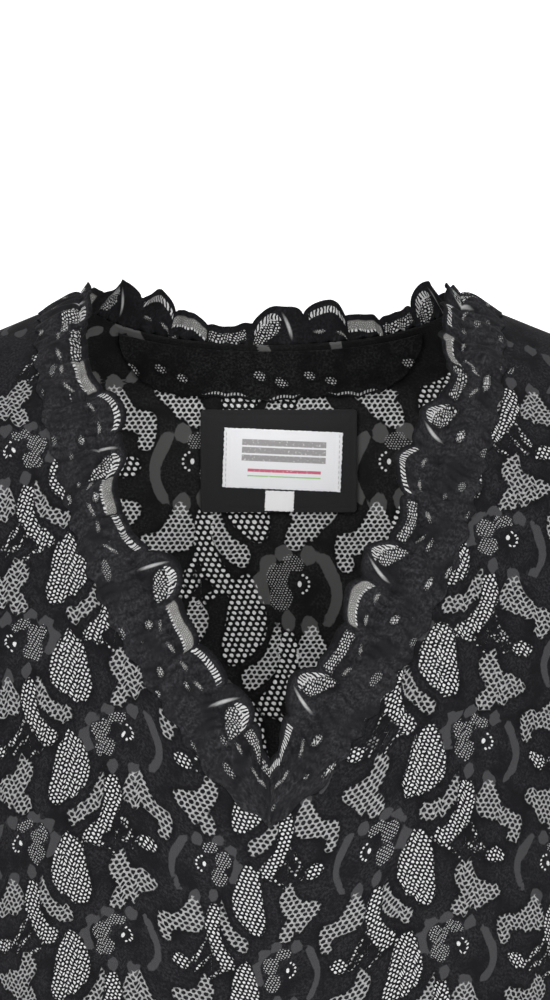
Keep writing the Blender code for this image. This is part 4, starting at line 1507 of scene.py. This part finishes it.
# %% [markdown]
# The patch's corners are rounded, and it is a little fuller between its stitches. The label and the tab
# lie on it, turned by a degree or two as hand-placed pieces are, with slightly frayed edges.

# %% Patch, label and tab
PATCH = {"left": -32.5, "right": 40.0, "top": -36.0, "bottom": -83.5, "radius": 1.8, "clearance": 0.95}
LABEL = {"left": -22.0, "right": 33.0, "top": -45.2, "bottom": -72.8, "tilt": math.radians(2.4)}
TAB = {"left": -2.6, "right": 10.8, "top": -73.5, "bottom": -82.9, "tilt": math.radians(1.6)}
ON_PATCH = 2.25
PATCH_THICKNESS = 0.7
WOVEN_THICKNESS = 0.4


def rounded_rows(box, rows, columns, radius):
    """Grid between a box's sides whose corners follow quarter circles: rows shorten near top and bottom."""
    f = (1 - np.cos(np.linspace(0, math.pi, rows + 1))) / 2
    height = box["top"] - box["bottom"]
    edge = np.minimum(f, 1 - f) * height
    inset = radius - np.sqrt(np.clip(radius**2 - np.clip(radius - edge, 0, None) ** 2, 0, None))
    z = box["top"] - f * height
    across = np.linspace(-1, 1, columns + 1)
    half = (box["right"] - box["left"]) / 2 - inset
    x = (box["left"] + box["right"]) / 2 + half[:, None] * across
    return x, np.broadcast_to(z[:, None], x.shape)


def make_patch():
    """Patch: slightly puffed between its stitches, with a turned edge."""
    x, z = rounded_rows(PATCH, 60, 90, PATCH["radius"])
    from_edge = np.minimum(
        np.minimum(x - x[:, :1], x[:, -1:] - x), np.minimum(PATCH["top"] - z, z - PATCH["bottom"])
    )
    puff = 0.25 * ease(from_edge, 1.5, 6) - 0.2 * np.exp(-(((from_edge - 2.2) / 0.7) ** 2))
    puff = puff + 0.12 * np.sin(x / 8 + 1) * np.sin(z / 6)
    points = inside_back(x, z, PATCH["clearance"] + 0.7 + puff)
    cloth = np.stack([x, z], axis=-1).reshape(-1, 2)
    faces = grid_faces(*x.shape)
    return make_skin("patch_cloth", points.reshape(-1, 3), faces, cloth, {}, PATCH_CLOTH, PATCH_THICKNESS)


def make_tilted(name, box, rows, columns, puff, material):
    """A small woven piece, turned a little clockwise, with its own flat place measured from its middle."""
    u, v = np.meshgrid(
        np.linspace(-0.5, 0.5, columns + 1) * (box["right"] - box["left"]),
        np.linspace(0.5, -0.5, rows + 1) * (box["top"] - box["bottom"]),
    )
    fray = 0.18 * np.sin(7.1 * v + 2.0 * np.sin(3.3 * v)) * (np.abs(u) > np.abs(u).max() - 0.01)
    fray_v = 0.12 * np.sin(5.3 * u + 2.0 * np.sin(2.9 * u)) * (np.abs(v) > np.abs(v).max() - 0.01)
    cos, sin = math.cos(box["tilt"]), math.sin(box["tilt"])
    x = (box["left"] + box["right"]) / 2 + cos * (u + fray) + sin * (v + fray_v)
    z = (box["top"] + box["bottom"]) / 2 - sin * (u + fray) + cos * (v + fray_v)
    points = inside_back(x, z, puff(u, v))
    cloth = np.stack([u, v], axis=-1).reshape(-1, 2)
    faces = grid_faces(*x.shape)
    return make_skin(name, points.reshape(-1, 3), faces, cloth, {}, material, WOVEN_THICKNESS)


def label_puff(u, v):
    """Height of the label: its folded ends are twice as thick, and its middle bows a little."""
    folded = ease(np.abs(u), 24.6, 25.2) * 0.35
    bow = 0.35 * np.cos(u / 18) * np.cos(v / 9)
    return ON_PATCH + 0.55 + folded + bow + 0.06 * np.sin(u / 2.3 + v / 3)


def tab_puff(u, v):
    """Height of the tab: a folded loop, fullest at its lower end."""
    return ON_PATCH + 0.5 + 0.55 * ease(-v, -5, 5) + 0.05 * np.sin(u)


patch = make_patch()
label = make_tilted("woven_label_satin", LABEL, 56, 110, label_puff, LABEL_SATIN)
tab = make_tilted("size_tab_tape", TAB, 24, 34, tab_puff, TAB_TAPE)


# %% [markdown]
# ## Stitches
# A stitch is a short bead of thread that dips into the cloth at both ends. One bead is made as a tube
# whose radius follows half a sine, and all of a seam's stitches are placed at once with arrays. They are
# real geometry because they catch the light along the patch's edge.

# %% Stitch maker
STITCH_SIDES = 6
STITCH_RINGS = 5
# For each kind of stitch its clearance from the back, its pitch, its length and its radius
PATCH_STITCH = (1.95, 2.6, 2.1, 0.24)
LABEL_STITCH = (3.6, 2.4, 1.9, 0.22)
PATCH_STITCH_INSET = 1.8
PATCH_STITCH_CORNER = 0.6


def bead():
    """One stitch of length 1 along x: rings whose radius is the sine of their place, closed by two poles."""
    s = np.linspace(0, 1, STITCH_RINGS + 2)[1:-1]
    turn = 2 * math.pi * np.arange(STITCH_SIDES) / STITCH_SIDES
    radius = np.sin(math.pi * s)[:, None]
    rings = [s[:, None] - 0.5, radius * np.cos(turn), radius * np.sin(turn)]
    rings = np.stack(np.broadcast_arrays(*rings), axis=-1)
    points = np.concatenate([rings.reshape(-1, 3), [[-0.5, 0, 0], [0.5, 0, 0]]])
    sides = grid_faces(STITCH_RINGS, STITCH_SIDES, closed=True, flip=True)
    first = np.arange(STITCH_SIDES)
    last = first + (STITCH_RINGS - 1) * STITCH_SIDES
    pole = STITCH_RINGS * STITCH_SIDES
    caps = [np.stack([np.full(STITCH_SIDES, pole), np.roll(first, -1), first], axis=1)]
    caps.append(np.stack([np.full(STITCH_SIDES, pole + 1), last, np.roll(last, -1)], axis=1))
    return points, sides, np.concatenate(caps)


def make_stitches(name, x, z, clearance, pitch, length, radius, material):
    """Stitches at even places along a line on the inside of the back."""
    line = inside_back(x, z, np.full(x.shape, clearance))
    steps = np.linalg.norm(np.diff(line, axis=0), axis=1)
    distance = np.concatenate([[0], np.cumsum(steps)])
    at = (np.arange(int(distance[-1] / pitch)) + 0.5) * pitch
    here, before, after = [
        np.stack([np.interp(at + shift, distance, line[:, i]) for i in range(3)], axis=1)
        for shift in (0, -0.5, 0.5)
    ]
    along = unit(after - before)
    out = -outward(here)
    side = unit(np.cross(out, along))
    points, sides, caps = bead()
    placed = here[:, None] + length * points[:, :1] * along[:, None]
    placed = placed + radius * (points[:, 1:2] * side[:, None] + points[:, 2:] * out[:, None])
    first = (np.arange(len(at)) * len(points))[:, None, None]
    faces = (sides + first).reshape(-1, 4).tolist() + (caps + first).reshape(-1, 3).tolist()
    mesh = bpy.data.meshes.new(name)
    mesh.from_pydata((placed * MM).reshape(-1, 3).tolist(), [], faces)
    mesh.shade_smooth()
    layer = mesh.uv_layers.new(name="cloth")
    corner = np.zeros(len(mesh.loops), dtype=np.int32)
    mesh.loops.foreach_get("vertex_index", corner)
    layer.data.foreach_set("uv", (placed.reshape(-1, 3)[corner][:, [0, 2]] * MM).ravel())
    mesh.materials.append(material)
    piece = bpy.data.objects.new(name, mesh)
    SCENE.collection.objects.link(piece)
    print(name, len(at), "stitches")
    return piece


def rounded_line(box, inset, radius, count=400):
    """A closed line round a box at an inset, with quarter circles at its corners."""
    half_x = (box["right"] - box["left"]) / 2 - inset
    half_z = (box["top"] - box["bottom"]) / 2 - inset
    quarter = np.linspace(0, math.pi / 2, 12)
    turns = np.concatenate([quarter + i * math.pi / 2 for i in range(4)])
    centre_x = np.repeat([1, -1, -1, 1], 12) * (half_x - radius)
    centre_z = np.repeat([1, 1, -1, -1], 12) * (half_z - radius)
    x = np.append(centre_x + radius * np.cos(turns), half_x)
    z = np.append(centre_z + radius * np.sin(turns), half_z - radius)
    x, z = x + (box["left"] + box["right"]) / 2, z + (box["top"] + box["bottom"]) / 2
    distance = np.concatenate([[0], np.cumsum(np.hypot(np.diff(x), np.diff(z)))])
    even = np.linspace(0, distance[-1], count)
    return np.interp(even, distance, x), np.interp(even, distance, z)


patch_line = rounded_line(PATCH, PATCH_STITCH_INSET, PATCH_STITCH_CORNER)
patch_stitches = make_stitches("patch_stitches", *patch_line, *PATCH_STITCH, BLACK_THREAD)
end_z = np.array([LABEL["top"] - 0.5, LABEL["bottom"] + 0.5])
left_x = np.array([LABEL["left"] + 1.6, LABEL["left"] + 0.9])
right_x = np.array([LABEL["right"] - 0.9, LABEL["right"] - 1.6])
label_stitches_left = make_stitches("label_stitches_left", left_x, end_z, *LABEL_STITCH, PALE_THREAD)
label_stitches_right = make_stitches(
    "label_stitches_right", right_x, end_z - 1.2, *LABEL_STITCH, PALE_THREAD
)


# %% [markdown]
# ## What each piece stands for
# Every piece moves with the one body, and hides the plain solid it replaces.

# %% Pieces on the body, each hiding the solid it replaces
PIECES = {
    front_skin: (("front",), "lace"),
    back_skin: (("back",), "lace"),
    sleeve_right: (("sleeve_right",), "lace"),
    sleeve_left: (("sleeve_left",), "lace"),
    neck_ruffle: (("ruffle_left", "ruffle_back", "ruffle_right"), "ruffle_lace"),
    neck_band: (("back_neck_band",), "neck_band"),
    patch: (("label_patch",), "patch_cloth"),
    label: (("woven_label",), "label_satin"),
    tab: (("size_tab",), "tab_tape"),
    patch_stitches: ((), "patch_cloth"),
    label_stitches_left: ((), "label_satin"),
    label_stitches_right: ((), "label_satin"),
}
for piece, (nodes, slot) in PIECES.items():
    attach(piece, "root")
    if nodes:
        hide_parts(*nodes)
